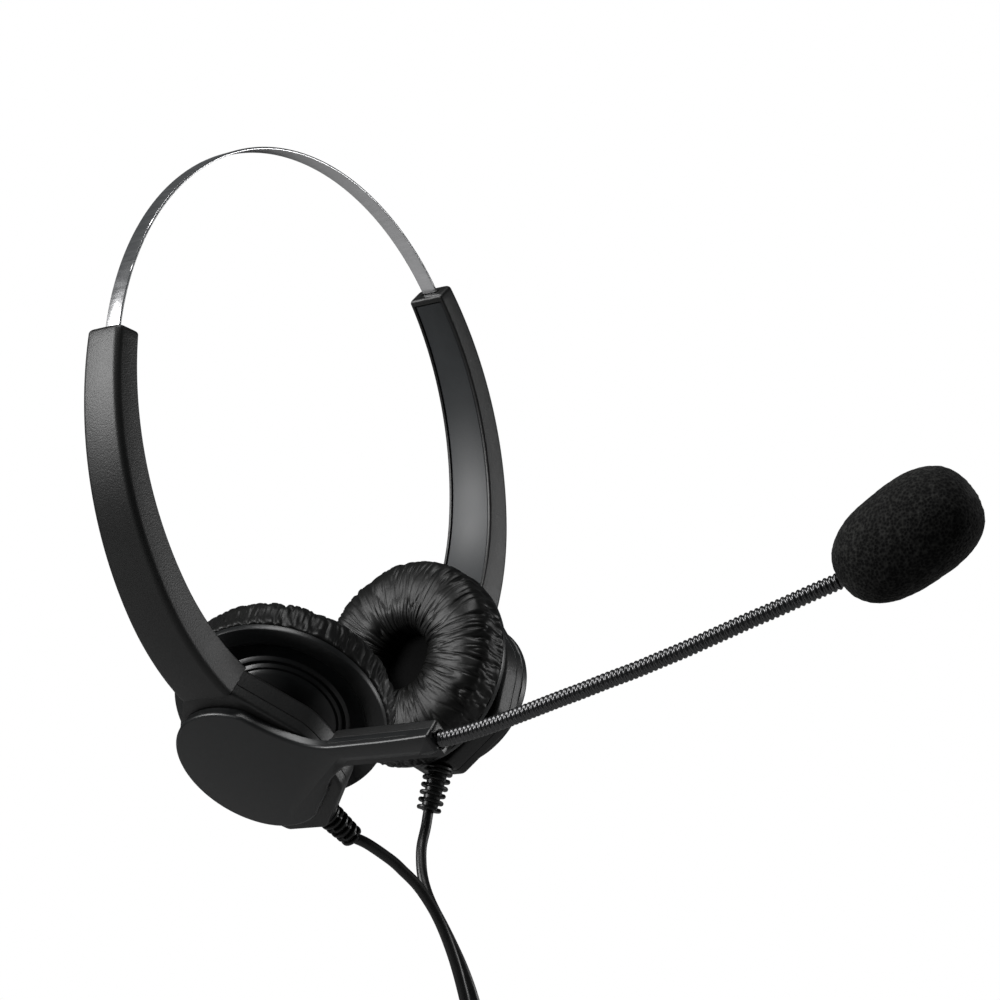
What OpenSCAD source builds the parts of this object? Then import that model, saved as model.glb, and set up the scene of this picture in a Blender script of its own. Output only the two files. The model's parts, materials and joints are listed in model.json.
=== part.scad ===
// Two-ear wired office headset: a spring steel band with two sliding arms,
// a swivelling boom microphone on the right and a ball-jointed ear cup on each side.
// +X is forward, +Y is the wearer's left, +Z is up. The origin is on the inner face
// of the band at the crown, where the headset rests on the head.
// Side parts are modelled on the wearer's right (-Y) and mirrored to the left.

/* [Headband] */
// Radius of the steel band's inner face
band_r = 70; // [66:0.5:74]
// Width of the steel band
band_w = 4.6; // [3.8:0.1:5.4]
// Thickness of the steel band
band_t = 0.7; // [0.5:0.1:0.9]
// Angle from the crown to an arm's mouth, with the arms fully out
mouth_angle = 65.8; // [62:0.1:68]
// How far the band still reaches into a fully extended arm, as an angle
band_grip_angle = 10; // [8:1:12]

/* [Arms] */
// Radius of the arm's upper curve
upper_r = 87; // [82:1:92]
// Angle swept by the upper curve
upper_sweep = 43.9; // [42:0.1:46]
// Radius of the arm's lower curve
lower_r = 64; // [60:1:68]
// Width of an arm at its mouth
arm_top_w = 10.9; // [10:0.1:12]
// Width of an arm where it meets the hub
arm_end_w = 16; // [14:0.1:16.4]
// Thickness of an arm at its mouth
arm_top_t = 6.7; // [6.2:0.1:7]
// Thickness of an arm where it meets the hub
arm_end_t = 9.9; // [9:0.1:10.4]

/* [Ear hubs] */
// Distance of each hub's outer face from the middle plane
hub_y = 45.9; // [44:0.1:48]
// Drop from the crown to the hub centres
hub_drop = 151.6; // [150:0.1:153]
// Tilt of the hubs: their outer faces look down by this angle
hub_tilt = 34; // [32:1:36]
// Radius of a hub's round body
hub_r = 21; // [20.5:0.5:22]

/* [Ear cups] */
// Radius of an ear cushion
cushion_r = 27.8; // [27.4:0.1:29]
// Radius of the hole in an ear cushion
cushion_hole_r = 8; // [7:0.5:9]
// Depth of an ear cushion in front of the cup's flange
cushion_depth = 11.5; // [10.5:0.5:12.5]
// Rest nod of the right cup about its ball
right_nod = -3; // [-5:0.5:0]
// Rest turn of the right cup about its ball
right_turn = 12; // [8:1:14]
// Rest nod of the left cup about its ball
left_nod = -5.5; // [-7:0.5:-3]
// Rest turn of the left cup about its ball
left_turn = 0; // [-4:1:4]

/* [Boom] */
// Radius of the boom hub's disc and of the left hub's cap
disc_r = 19.5; // [18:0.5:20]
// Length of the boom's neck from the hub centre
neck_len = 58; // [56:1:59]
// Diameter of the gooseneck
gooseneck_d = 3.7; // [3.3:0.1:3.9]
// Length of the foam windscreen
foam_len = 34.5; // [31:0.5:36]
// Greatest diameter of the foam windscreen
foam_d = 24; // [22:0.5:26]

/* [Cord] */
// Diameter of each ear lead
lead_d = 2.8; // [2.4:0.1:3]
// Diameter of the main cord
cord_d = 3.2; // [3:0.1:3.5]

/* [Hidden] */
$fn = 64;
RIGHT = -1;
LEFT = 1;
eps = 0.01;

// Headband and arm curves, in the plane x = 0; a point is [distance to the right, height]
slide_angle = 15;
band_end = mouth_angle + band_grip_angle;
band_mid_r = band_r + band_t / 2;
arm_turns = [mouth_angle, mouth_angle + upper_sweep];
arm_end_angle = 138;
band_centre = [0, -band_r];
upper_centre = band_centre + (band_mid_r - upper_r) * unit(arm_turns[0]);
lower_centre = upper_centre + (upper_r - lower_r) * unit(arm_turns[1]);
arm_steps = 28;
wall = 1.4;
cover_t = 1.3;
mouth_wall = 2;
strip_gap = 0.35;

// Hub stack, measured along the hub's axis from the disc's outer face inwards
disc_t = 2.7;
face_gap = 0.3;
hub_face = -disc_t - face_gap;
hub_split = -6.2;
hub_inner = -11.5;
hub_top = 23;
hub_foot = 24;
hub_wall = 1.5;
axle_r = 4.5;
running = 0.06;
pivot = [0, 0.5, -14.3];
ball_r = 2.6;
seat_r = 3.5;
stem_r = 1.4;

// Strain relief on the hub's foot
relief_root = [3.1, -hub_foot, -9.3];
relief_len = 12;
relief_rings = 6;
RELIEF_LEAN = [2.5, -9];
RELIEF_PITCH = [-9, 5];

// Boom neck, in the hub's own frame
neck_top = 6;
neck_bottom = -2.4;
neck_t = 6.2;
neck_start = 26.5;
gooseneck_exit = [neck_len, 1.8, -3.1];
ferrule_r = 2.4;

// Gooseneck and foam, in the part's frame
GOOSENECK = [
    [53, -44.3, -148.4], [58, -44.3, -148.4], [66, -44.2, -147.4], [75, -44, -145.8],
    [83, -43.7, -144.1], [91, -43.2, -142.3], [98, -42.5, -140.8], [105, -41.6, -139.2],
    [112, -40.6, -137.7], [118, -39.5, -136.2], [124, -38.3, -134.7], [129, -37, -133.3],
    [134, -35.7, -131.9], [139, -34.3, -130.5], [144, -32.9, -129.2], [149, -31.4, -127.8],
    [154, -29.9, -126.4], [158.5, -28.6, -125.2], [162.4, -27.5, -123.9]
];
foam_centre = [174.1, -24.2, -117.9];
foam_rise = 26.7;
foam_swing = 16.2;
holder_r = 3.3;
holder_len = 10;
capsule_r = 2.9;

// Ear cup stack, measured along the cup's axis from the ball's centre inwards
flange_z = -5.1;
flange_t = 1.8;
baffle_z = -7.8;
baffle_t = 1.4;
scrim_t = 0.3;
cushion_back = baffle_z - baffle_t - scrim_t - 0.2;
cushion_front = flange_z - flange_t - cushion_depth;

// Cord routes, in the part's frame
LEAD_RIGHT = [
    [6, -14, -177.7], [8.7, -9.2, -183.3], [10.1, -7.2, -186.6], [11.7, -5, -190.6],
    [13.2, -3.6, -195], [14.8, -2.8, -200], [16.2, -2.4, -206], [17.3, -2.2, -213],
    [18, -2.2, -221], [18.2, -2.2, -230], [18.2, -2.2, -240]
];
LEAD_LEFT = [
    [1.7, 16, -180.4], [2.6, 11.7, -184.4], [3.6, 9, -188], [4.9, 6.8, -191.5],
    [6.9, 4.8, -195.2], [9.2, 3.4, -199], [11.6, 2.7, -203.4], [13.8, 2.3, -208.4],
    [15.8, 2.2, -214.4], [17.3, 2.2, -221.4], [18.2, 2.2, -230], [18.2, 2.2, -240]
];
splitter_top = LEAD_RIGHT[len(LEAD_RIGHT) - 1];
splitter_len = 16;
splitter_t = 5.4;
cord_x = splitter_top[0];
cord_start = splitter_top[2] - splitter_len;
hank_run = 51;
hank_r = 14.4;
hank_t = 10.4;
hank_x = cord_x + cord_d / 2 - hank_r;
hank_top = cord_start - 10;
hank_z = hank_top - hank_r - hank_run / 2;
hank_foot = hank_z - hank_run / 2 - hank_r;
tail_len = 6;
MAIN_CORD = [for (z = [0, -7, -14, -20]) [cord_x, 0, cord_start + z]];
TAIL = [for (z = [2, -tail_len / 2, -tail_len]) [hank_x, 0, hank_foot + z]];
tie_t = 1.2;
tie_h = 7;
plug_top = [hank_x, 0, hank_foot - tail_len];
plug_len = 12;
plug_w = 7.7;
plug_h = 6.5;

// --- Curves and sweeps ---

function unit(a) = [sin(a), cos(a)];

// How far along the arm an angle lies, from 0 at the mouth to 1 at the hub
function arm_share(a) = (a - mouth_angle) / (arm_end_angle - mouth_angle);
function arm_t(a) = arm_top_t + (arm_end_t - arm_top_t) * arm_share(a);

// Centre and radius of the arm's curve at an angle
function arm_centre(a) = a < arm_turns[1] ? upper_centre : lower_centre;
function arm_r(a) = a < arm_turns[1] ? upper_r : lower_r;
function arm_point(a, out) = arm_centre(a) + (arm_r(a) + out) * unit(a);

// Evenly spaced angles from one angle to another
function angles(from, to, n) = [for (i = [0:n]) from + (to - from) * i / n];

// A point of a hub's frame, in the part's frame
function hub_point(side, p) = [
    p[0],
    side * (hub_y + p[1] * sin(hub_tilt) + p[2] * cos(hub_tilt)),
    -hub_drop + p[1] * cos(hub_tilt) - p[2] * sin(hub_tilt)
];

function normal(v) = v / norm(v);

// Direction of a route at its point i
function tangent(route, i) = normal(route[min(i + 1, len(route) - 1)] - route[max(i - 1, 0)]);

// A ring of n points about a route's point, square to the route
function ring(route, i, r, n, side_of) =
    let (t = tangent(route, i), u = normal(cross(t, side_of)), w = cross(t, u))
    [for (k = [0:n - 1]) route[i] + r * (cos(360 * k / n) * u + sin(360 * k / n) * w)];

// A closed tube along a route
module tube(route, d, n, side_of) {
    last = len(route) - 1;
    points = [for (i = [0:last]) each ring(route, i, d / 2, n, side_of)];
    sides = [for (i = [0:last - 1], k = [0:n - 1])
        [i * n + k, i * n + (k + 1) % n, (i + 1) * n + (k + 1) % n, (i + 1) * n + k]];
    caps = [[for (k = [n - 1:-1:0]) k], [for (k = [0:n - 1]) last * n + k]];
    polyhedron(points, concat(sides, caps), convexity = 4);
}

// How far a strain relief leans forward and outwards, which differs with the pull of its lead
function relief_lean(side) = side == RIGHT ? RELIEF_LEAN[0] : RELIEF_LEAN[1];
function relief_pitch(side) = side == RIGHT ? RELIEF_PITCH[0] : RELIEF_PITCH[1];

// A point on a strain relief's axis, at a distance from its root
function relief_point(side, along) = hub_point(side, relief_root + along * [
    sin(relief_lean(side)) * cos(relief_pitch(side)),
    -cos(relief_lean(side)) * cos(relief_pitch(side)),
    sin(relief_pitch(side))
]);

// --- Frames ---

module on_side(side) {
    if (side == LEFT) mirror([0, 1, 0]) children();
    else children();
}

// A hub's frame: x forward, y up along the hub, z outwards
module in_hub(side) {
    on_side(side) translate([0, -hub_y, -hub_drop]) rotate([90 + hub_tilt, 0, 0]) children();
}

// A cup's frame: the hub's frame moved to the ball, then nodded and turned
module in_cup(side) {
    nod = side == RIGHT ? right_nod : left_nod;
    turn = side == RIGHT ? right_turn : left_turn;
    in_hub(side) translate(pivot) rotate([nod, 0, 0]) rotate([0, turn, 0]) children();
}

// The frame of a profile drawn as [distance to the right, height], extruded along X
module in_side_plane(w) {
    rotate([90, 0, -90]) translate([0, 0, -w / 2]) linear_extrude(w) children();
}

// Along the foam's axis, from its centre towards its tip
module in_foam() {
    translate(foam_centre) rotate([0, 90 - foam_rise, foam_swing]) children();
}

// --- Headband ---

// A strip of the band's arc between two angles from the crown, towards the right
module band_arc(r_in, r_out, w, from, to) {
    translate([0, 0, -band_r]) rotate([from, 0, 0]) rotate([0, -90, 180]) translate([0, 0, -w / 2])
        rotate_extrude(angle = to - from, $fn = 180) translate([r_in, 0]) square([r_out - r_in, w]);
}

module steel_band() {
    color("gainsboro") band_arc(band_r, band_r + band_t, band_w, -band_end, band_end);
}

// A rivet head near each end of the band, which stops the arm from coming off
module band_stops() {
    color("silver") for (side = [RIGHT, LEFT]) on_side(side)
        translate([0, 0, -band_r]) rotate([band_end - 2, 0, 0])
            translate([0, 0, band_r + band_t]) cylinder(r = 1.1, h = 0.6, $fn = 32);
}

// --- Arms ---

// The arm seen from the front, between two distances out from its centre line
module arm_profile(from, in_out, start = 0) {
    a = angles(mouth_angle + start, arm_end_angle, arm_steps);
    inner = [for (t = a) arm_point(t, in_out[0] * arm_t(t) / 2 + in_out[1])];
    outer = [for (t = a) arm_point(t, from[0] * arm_t(t) / 2 + from[1])];
    polygon(concat(outer, [for (i = [arm_steps:-1:0]) inner[i]]));
}

// The arm seen from the side: its width grows evenly from the mouth to the hub
module arm_width(inset) {
    top = arm_point(mouth_angle, 0)[1] + 6;
    bottom = arm_point(arm_end_angle, 0)[1] - 6;
    rate = (arm_end_w - arm_top_w) / (arm_point(mouth_angle, 0)[1] - arm_point(133, 0)[1]);
    top_w = arm_top_w - 6 * rate - 2 * inset;
    bottom_w = top_w + (top - bottom) * rate;
    translate([0, -20, 0]) rotate([90, 0, 0]) linear_extrude(80)
        polygon([[-top_w / 2, top], [top_w / 2, top], [bottom_w / 2, bottom], [-bottom_w / 2, bottom]]);
}

// Everything above the seam between arm and hub
module above_seam() {
    translate([0, -hub_y, -hub_drop]) rotate([90 + hub_tilt, 0, 0])
        translate([-20, hub_top, -60]) cube([40, 120, 120]);
}

module arm_block(outer, inner, inset, start = 0) {
    intersection() {
        in_side_plane(40) arm_profile(outer, inner, start);
        arm_width(inset);
        above_seam();
    }
}

// The room that the sliding band needs inside an arm
module band_channel() {
    band_arc(band_r - strip_gap, band_r + band_t + strip_gap, band_w + 2 * strip_gap,
        mouth_angle - 3, band_end + slide_angle + 2);
}

module arm_shell(side) {
    color([0.09, 0.09, 0.1]) on_side(side) difference() {
        arm_block([1, 0], [-1, 0], 0);
        arm_block([1, -wall], [-1, -1], wall, mouth_wall);
        band_channel();
    }
    color([0.09, 0.09, 0.1]) in_hub(side) arm_tongue(0);
}

// The tongue that locks an arm into the top of its hub
module arm_tongue(gap) {
    translate([-4 - gap, 18, -9.4 - gap]) cube([8 + 2 * gap, 9, 2.6 + 2 * gap]);
    translate([-6.6, hub_top, -9.4]) cube([13.2, 3, 2.6]);
}

module arm_cover(side) {
    color([0.14, 0.15, 0.16]) on_side(side) difference() {
        arm_block([-1, cover_t], [-1, 0], wall + 0.05, mouth_wall + 0.1);
        band_channel();
    }
}

// A sprung pad inside the mouth that grips the band
module band_grip(side) {
    angle = mouth_angle + 5;
    grip_len = 4;
    color("dimgray") on_side(side) translate([0, 0, -band_r]) rotate([angle, 0, 0])
        translate([-band_w / 2, -grip_len / 2, band_r + band_t + 0.02]) cube([band_w, grip_len, 1.2]);
}

// --- Hubs ---

module hub_outline(inset) {
    half_top = arm_end_w / 2 - inset;
    circle(r = hub_r - inset);
    polygon([[-half_top, hub_top - inset], [half_top, hub_top - inset],
        [hub_r * 0.9 - inset, hub_r * 0.43], [inset - hub_r * 0.9, hub_r * 0.43]]);
    polygon([[inset - 14, inset - 15.5], [inset / 2 - 5, inset - hub_foot], [7 - inset / 2, inset - hub_foot],
        [hub_r - 0.5 - inset, inset / 2 - 11], [hub_r - inset, 0], [inset - hub_r, 0]]);
}

// A layer of the hub between two heights along its axis
module hub_layer(low, high, inset) {
    translate([0, 0, low]) linear_extrude(high - low) hub_outline(inset);
}

// Where the hub's two screws sit
module at_hub_screws() {
    for (p = [[-13, -9], [10, 13]]) translate([p[0], p[1], 0]) children();
}

module hub_front(side) {
    color([0.1, 0.1, 0.11]) in_hub(side) difference() {
        union() {
            difference() {
                hub_layer(hub_split, hub_face, 0);
                hub_layer(hub_split - 1, hub_face - hub_wall, hub_wall);
            }
            at_hub_screws() translate([0, 0, hub_split]) cylinder(r = 2.4, h = 2.5);
        }
        translate([0, 0, hub_split - 1]) cylinder(r = axle_r + running, h = 5);
        at_hub_screws() translate([0, 0, hub_split - 1]) cylinder(r = 0.9, h = 3);
    }
}

module hub_back(side) {
    color([0.08, 0.08, 0.09]) in_hub(side) difference() {
        union() {
            difference() {
                hub_layer(hub_inner, hub_split, 0);
                hub_layer(hub_inner + hub_wall, hub_split + 1, hub_wall);
            }
            at_hub_screws() translate([0, 0, hub_inner]) cylinder(r = 2.6, h = hub_split - hub_inner);
            translate([pivot[0], pivot[1], hub_inner]) cylinder(r = 3.6, h = 3.4);
            pivot_rib();
        }
        translate([pivot[0], pivot[1], hub_inner - 4]) cylinder(r = stem_r, h = 8);
        at_hub_screws() translate([0, 0, hub_inner - 1]) cylinder(r = 1.1, h = 8);
        at_hub_screws() translate([0, 0, hub_inner - 1]) cylinder(r = 2, h = 2.6);
        translate(relief_root + [0, -1, 0]) rotate([-90, 0, 0]) cylinder(r = 2.1, h = 4);
        arm_tongue(0.05);
    }
}

// The rib that carries the ball joint, from the end of the arm to the pivot
module pivot_rib() {
    rib_w = 9;
    translate([-rib_w / 2, 0, 0]) rotate([90, 0, 90]) linear_extrude(rib_w)
        polygon([[8, hub_inner + 1], [8, hub_inner - 0.6], [15, hub_inner - 2.2],
            [hub_top - 1.5, hub_inner], [hub_top - 1.5, hub_inner + 1]]);
}

module hub_screws(side) {
    color("silver") in_hub(side) at_hub_screws() translate([0, 0, hub_inner + 0.6]) {
        cylinder(r = 0.9, h = hub_split - hub_inner + 1, $fn = 32);
        cylinder(r = 1.8, h = 1, $fn = 32);
    }
}

module ball_stud(side) {
    color("silver") in_hub(side) translate(pivot) {
        sphere(r = ball_r);
        cylinder(r = stem_r, h = 5.5);
    }
}

// The cap that closes the hub which has no boom
module hub_cap() {
    color([0.11, 0.11, 0.12]) in_hub(LEFT) {
        translate([0, 0, hub_face]) cylinder(r = disc_r + 1.2, h = 1.6);
        translate([0, 0, hub_face + 1.6]) cylinder(r1 = disc_r + 1.2, r2 = disc_r - 0.2, h = 1.4, $fn = 96);
        translate([0, 0, hub_face - 2.2]) cylinder(r = axle_r - 0.2, h = 2.2 + eps);
    }
}

// A ribbed rubber sleeve that tapers towards the lead
module strain_relief(side) {
    pitch = relief_len / relief_rings;
    color([0.05, 0.05, 0.05]) in_hub(side) {
        translate(relief_root) rotate([90 - relief_pitch(side), 0, relief_lean(side)]) difference() {
            union() {
                translate([0, 0, -1.7]) cylinder(r = 1.6, h = 3);
                translate([0, 0, 0.8]) cylinder(r1 = 2.5, r2 = 2.1, h = relief_len - 0.8);
                for (i = [0:relief_rings - 1]) translate([0, 0, pitch * i + 0.9])
                    cylinder(r = 3.9 - 0.12 * i, h = pitch - 0.9, $fn = 32);
            }
            translate([0, 0, relief_len - 2]) cylinder(r = lead_d / 2, h = 3, $fn = 32);
        }
    }
}

// --- Boom ---

// The neck grows out of the disc with a concave upper shoulder
module neck_outline() {
    shoulder = angles(0, 1, 8);
    top_from = [9, disc_r - 3];
    top_to = [29, neck_top - 0.6];
    bottom_from = [disc_r - 2.5, -9];
    bottom_to = [29, neck_bottom];
    polygon(concat(
        [[0, disc_r - 1]],
        [for (s = shoulder) bend(top_from, [19, neck_top - 1], top_to, s)],
        [[neck_len, neck_top], [neck_len, neck_bottom + 1]],
        [for (s = shoulder) bend(bottom_to, [22, neck_bottom], bottom_from, s)],
        [[0, -disc_r + 1]]
    ));
}

// A quadratic curve from a to c, pulled towards b
function bend(a, b, c, s) = (1 - s) * (1 - s) * a + 2 * s * (1 - s) * b + s * s * c;

module gooseneck_socket() {
    translate(gooseneck_exit + [1, 0, 0]) rotate([0, -90, 0]) cylinder(r = ferrule_r, h = 9);
}

module boom_hub() {
    color([0.12, 0.12, 0.13]) in_hub(RIGHT) difference() {
        union() {
            translate([0, 0, -disc_t]) cylinder(r = disc_r, h = disc_t - 0.8);
            translate([0, 0, -0.8]) cylinder(r1 = disc_r, r2 = disc_r - 0.8, h = 0.8, $fn = 96);
            translate([0, 0, -disc_t]) linear_extrude(disc_t - 0.3) neck_outline();
            translate([neck_start, neck_bottom, -neck_t / 2])
                cube([neck_len - neck_start, neck_top - neck_bottom, neck_t / 2 - 1]);
            translate([0, 0, hub_face - 2.4]) cylinder(r = axle_r, h = 2.4 + face_gap + 0.5);
        }
        translate([0, 0, hub_face - 3]) cylinder(r = 0.9, h = 4.6);
        gooseneck_socket();
    }
}

// The inner half of the neck, which closes its wire channel
module boom_back() {
    color([0.12, 0.12, 0.13]) in_hub(RIGHT) difference() {
        translate([neck_start, neck_bottom + 0.5, -neck_t])
            cube([neck_len - neck_start, neck_top - neck_bottom - 0.5, neck_t / 2 - eps]);
        gooseneck_socket();
        translate([neck_start - 1, 1, -neck_t / 2 - 1]) cube([24, 2, 2]);
    }
}

// A wave washer between the boom's axle head and the hub, which holds the boom where it is set
module boom_washer() {
    color("silver") in_hub(RIGHT) translate([0, 0, hub_face - hub_wall - 0.5]) difference() {
        cylinder(r = 6.6, h = 0.4);
        translate([0, 0, -1]) cylinder(r = axle_r + running, h = 2);
    }
}

module boom_screw() {
    color("silver") in_hub(RIGHT) translate([0, 0, hub_face - 3.4]) {
        cylinder(r = 0.9, h = 4.2, $fn = 32);
        cylinder(r = 6, h = 0.9);
    }
}

module gooseneck_ferrule() {
    color("dimgray") in_hub(RIGHT) difference() {
        translate(gooseneck_exit - [6, 0, 0]) rotate([0, 90, 0]) cylinder(r = ferrule_r, h = 6);
        translate(gooseneck_exit - [7, 0, 0]) rotate([0, 90, 0]) cylinder(r = gooseneck_d / 2 + 0.2, h = 8);
    }
}

module gooseneck() {
    color([0.16, 0.16, 0.17]) tube(GOOSENECK, gooseneck_d, 10, [0, 0, 1]);
}

// The barrel on the gooseneck's tip, which holds the microphone capsule
module mic_holder() {
    color([0.1, 0.1, 0.1]) in_foam() translate([0, 0, -13]) difference() {
        cylinder(r = holder_r, h = holder_len);
        translate([0, 0, 6]) cylinder(r = capsule_r + 0.02, h = 5);
        translate([0, 0, 2]) cylinder(r = 2, h = 5);
    }
}

module mic_capsule() {
    color("silver") in_foam() translate([0, 0, -7]) cylinder(r = capsule_r, h = 3.4);
}

// The windscreen's radius at a share of its length, from -1 at the neck end to 1 at the tip
function foam_r(s) = foam_d / 2 * pow(1 - pow(abs(s), 2.7), 0.42) * (0.95 + 0.05 * s);

module foam_windscreen() {
    n = 20;
    color([0.07, 0.07, 0.07]) in_foam() difference() {
        rotate_extrude() polygon(concat(
            [[0, -foam_len / 2]],
            [for (i = [1:n - 1]) let (s = -cos(180 * i / n)) [foam_r(s), s * foam_len / 2]],
            [[0, foam_len / 2]]
        ));
        translate([0, 0, -foam_len]) cylinder(r = 3, h = foam_len - 12);
        translate([0, 0, -13.1]) cylinder(r = holder_r + 0.1, h = holder_len + 0.6);
    }
}

// --- Ear cups ---

module ball_seat(side) {
    color("ivory") in_cup(side) intersection() {
        difference() {
            sphere(r = seat_r);
            sphere(r = ball_r + running);
        }
        translate([-5, -5, -1.6]) cube([10, 10, 2.9]);
    }
}

module cup_housing(side) {
    lip_z = 1.3;
    rim_r = 27.2;
    color([0.12, 0.12, 0.12]) in_cup(side) difference() {
        rotate_extrude($fn = 96) polygon([
            [0, lip_z], [4, lip_z], [6, -0.2], [9, -1.2], [13.8, -4.4], [15.2, -4.9],
            [15.5, -5.6], [17.2, -5.6], [17.5, -6.2], [21.8, -6.2], [22.5, flange_z],
            [rim_r, flange_z], [rim_r, flange_z - flange_t], [25.8, flange_z - flange_t],
            [25.8, baffle_z - baffle_t], [24.4, baffle_z - baffle_t], [24.4, baffle_z],
            [14.5, baffle_z], [13, -6], [9, -2.8], [5.2, -2.4], [5.2, -4.7], [0, -4.7]
        ]);
        sphere(r = seat_r + running);
        at_cup_screws() translate([0, 0, baffle_z - 1]) cylinder(r = 1, h = 2, $fn = 32);
    }
}

module baffle(side) {
    color("dimgray") in_cup(side) difference() {
        translate([0, 0, baffle_z - baffle_t]) cylinder(r = 24.3, h = baffle_t);
        translate([0, 0, baffle_z - 3]) cylinder(r = 1.1, h = 4, $fn = 32);
        for (k = [0:5]) rotate([0, 0, 60 * k]) translate([3.9, 0, baffle_z - 3])
            cylinder(r = 1.1, h = 4, $fn = 32);
        at_cup_screws() translate([0, 0, baffle_z - 3]) cylinder(r = 1, h = 4, $fn = 32);
    }
}

module at_cup_screws() {
    for (k = [0:2]) rotate([0, 0, 90 + 120 * k]) translate([19.5, 0, 0]) children();
}

// Screws from the ear side through the baffle into the housing
module cup_screws(side) {
    color("silver") in_cup(side) at_cup_screws() translate([0, 0, baffle_z - baffle_t]) {
        cylinder(r = 1, h = baffle_t + 1, $fn = 32);
        translate([0, 0, -0.2]) cylinder(r = 1.9, h = 0.2, $fn = 32);
    }
}

module speaker(side) {
    color("darkgoldenrod") in_cup(side) {
        translate([0, 0, baffle_z]) cylinder(r = 12.4, h = 1.4);
        translate([0, 0, baffle_z + 1.4 - eps]) cylinder(r = 7, h = 1.5);
    }
}

// A disc of black cloth over the sound holes
module scrim(side) {
    color([0.03, 0.03, 0.03]) in_cup(side)
        translate([0, 0, baffle_z - baffle_t - scrim_t]) cylinder(r = 12, h = scrim_t - eps);
}

// A padded ring with a skirt that wraps the flange
module ear_cushion(side) {
    mid_r = (cushion_r + cushion_hole_r) / 2;
    half_w = (cushion_r - cushion_hole_r) / 2;
    mid_z = cushion_back - 2.6;
    depth = mid_z - cushion_front;
    color([0.06, 0.06, 0.06]) in_cup(side) rotate_extrude($fn = 96) polygon(concat(
        [[26.1, cushion_back], [26.1, flange_z - flange_t - 0.2], [cushion_r, flange_z - flange_t - 0.2]],
        [for (a = angles(0, 180, 14)) [
            mid_r + half_w * pow(abs(cos(a)), 0.8) * sign(cos(a)),
            mid_z - depth * pow(sin(a), 0.75)]],
        [[cushion_hole_r, cushion_back]]
    ));
}

// --- Cord ---

module lead(side) {
    start = [relief_point(side, relief_len - 2), relief_point(side, relief_len)];
    color([0.05, 0.05, 0.05])
        tube(concat(start, side == RIGHT ? LEAD_RIGHT : LEAD_LEFT), lead_d, 8, [1, 0, 0]);
}

// The moulded joint where the two leads become one cord
module y_splitter() {
    top_z = splitter_top[2];
    color([0.06, 0.06, 0.06]) hull() {
        for (y = [-2.2, 2.2]) translate([splitter_top[0], y, top_z - 4]) cylinder(r = splitter_t / 2, h = 4, $fn = 32);
        translate([splitter_top[0], 0, top_z - splitter_len]) cylinder(r = splitter_t / 2 - 0.4, h = 4, $fn = 32);
    }
}

// The stretches of the main cord above and below its hank
module main_cord() {
    color([0.05, 0.05, 0.05]) {
        tube(MAIN_CORD, cord_d, 8, [1, 0, 0]);
        tube(TAIL, cord_d, 8, [1, 0, 0]);
    }
}

// The folded cord's outer shape: long turns with round ends
module cord_hank() {
    color([0.05, 0.05, 0.05]) translate([hank_x, 0, hank_z]) rotate([90, 0, 0])
        translate([0, 0, -hank_t / 2]) linear_extrude(hank_t) {
            for (z = [-1, 1]) translate([0, z * hank_run / 2]) circle(r = hank_r);
            translate([-hank_r, -hank_run / 2]) square([2 * hank_r, hank_run]);
        }
}

// A strap round the middle of the hank
module cord_tie() {
    color([0.08, 0.08, 0.08]) translate([hank_x, 0, hank_z]) difference() {
        translate([-hank_r - tie_t, -hank_t / 2 - tie_t, -tie_h / 2])
            cube([2 * (hank_r + tie_t), hank_t + 2 * tie_t, tie_h]);
        translate([-hank_r, -hank_t / 2, -tie_h]) cube([2 * hank_r, hank_t, 2 * tie_h]);
    }
}

// A four-way modular plug: body with a latch, and its contact blades
module plug_body() {
    color([0.8, 0.82, 0.85, 0.6]) translate(plug_top - [plug_h / 2, plug_w / 2, plug_len]) {
        difference() {
            cube([plug_h, plug_w, plug_len]);
            for (k = [0:3]) translate([plug_h - 1.6, plug_w / 2 - 1.9 + 1.02 * k, -1]) cube([3, 0.5, 4]);
        }
        translate([-2, plug_w / 2 - 1.6, 1]) cube([1, 3.2, plug_len - 3]);
        translate([-1.2, plug_w / 2 - 1.6, 1]) cube([1.4, 3.2, 1.2]);
    }
}

module plug_contacts() {
    color("gold") translate(plug_top - [plug_h / 2, plug_w / 2, plug_len])
        for (k = [0:3]) translate([plug_h - 1.55, plug_w / 2 - 1.88 + 1.02 * k, 0.1]) cube([1.3, 0.46, 2.8]);
}

steel_band();
band_stops();
arm_shell(RIGHT);  // arm_shell_right
arm_cover(RIGHT);  // arm_cover_right
band_grip(RIGHT);  // band_grip_right
hub_front(RIGHT);  // hub_front_right
hub_back(RIGHT);  // hub_back_right
hub_screws(RIGHT);  // hub_screws_right
ball_stud(RIGHT);  // ball_stud_right
strain_relief(RIGHT);  // strain_relief_right
boom_hub();
boom_back();
boom_washer();
boom_screw();
gooseneck_ferrule();
gooseneck();
mic_holder();
mic_capsule();
foam_windscreen();
ball_seat(RIGHT);  // ball_seat_right
cup_housing(RIGHT);  // cup_housing_right
baffle(RIGHT);  // baffle_right
speaker(RIGHT);  // speaker_right
scrim(RIGHT);  // scrim_right
cup_screws(RIGHT);  // cup_screws_right
ear_cushion(RIGHT);  // ear_cushion_right
arm_shell(LEFT);  // arm_shell_left
arm_cover(LEFT);  // arm_cover_left
band_grip(LEFT);  // band_grip_left
hub_front(LEFT);  // hub_front_left
hub_back(LEFT);  // hub_back_left
hub_cap();  // hub_cap_left
hub_screws(LEFT);  // hub_screws_left
ball_stud(LEFT);  // ball_stud_left
strain_relief(LEFT);  // strain_relief_left
ball_seat(LEFT);  // ball_seat_left
cup_housing(LEFT);  // cup_housing_left
baffle(LEFT);  // baffle_left
speaker(LEFT);  // speaker_left
scrim(LEFT);  // scrim_left
cup_screws(LEFT);  // cup_screws_left
ear_cushion(LEFT);  // ear_cushion_left
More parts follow.
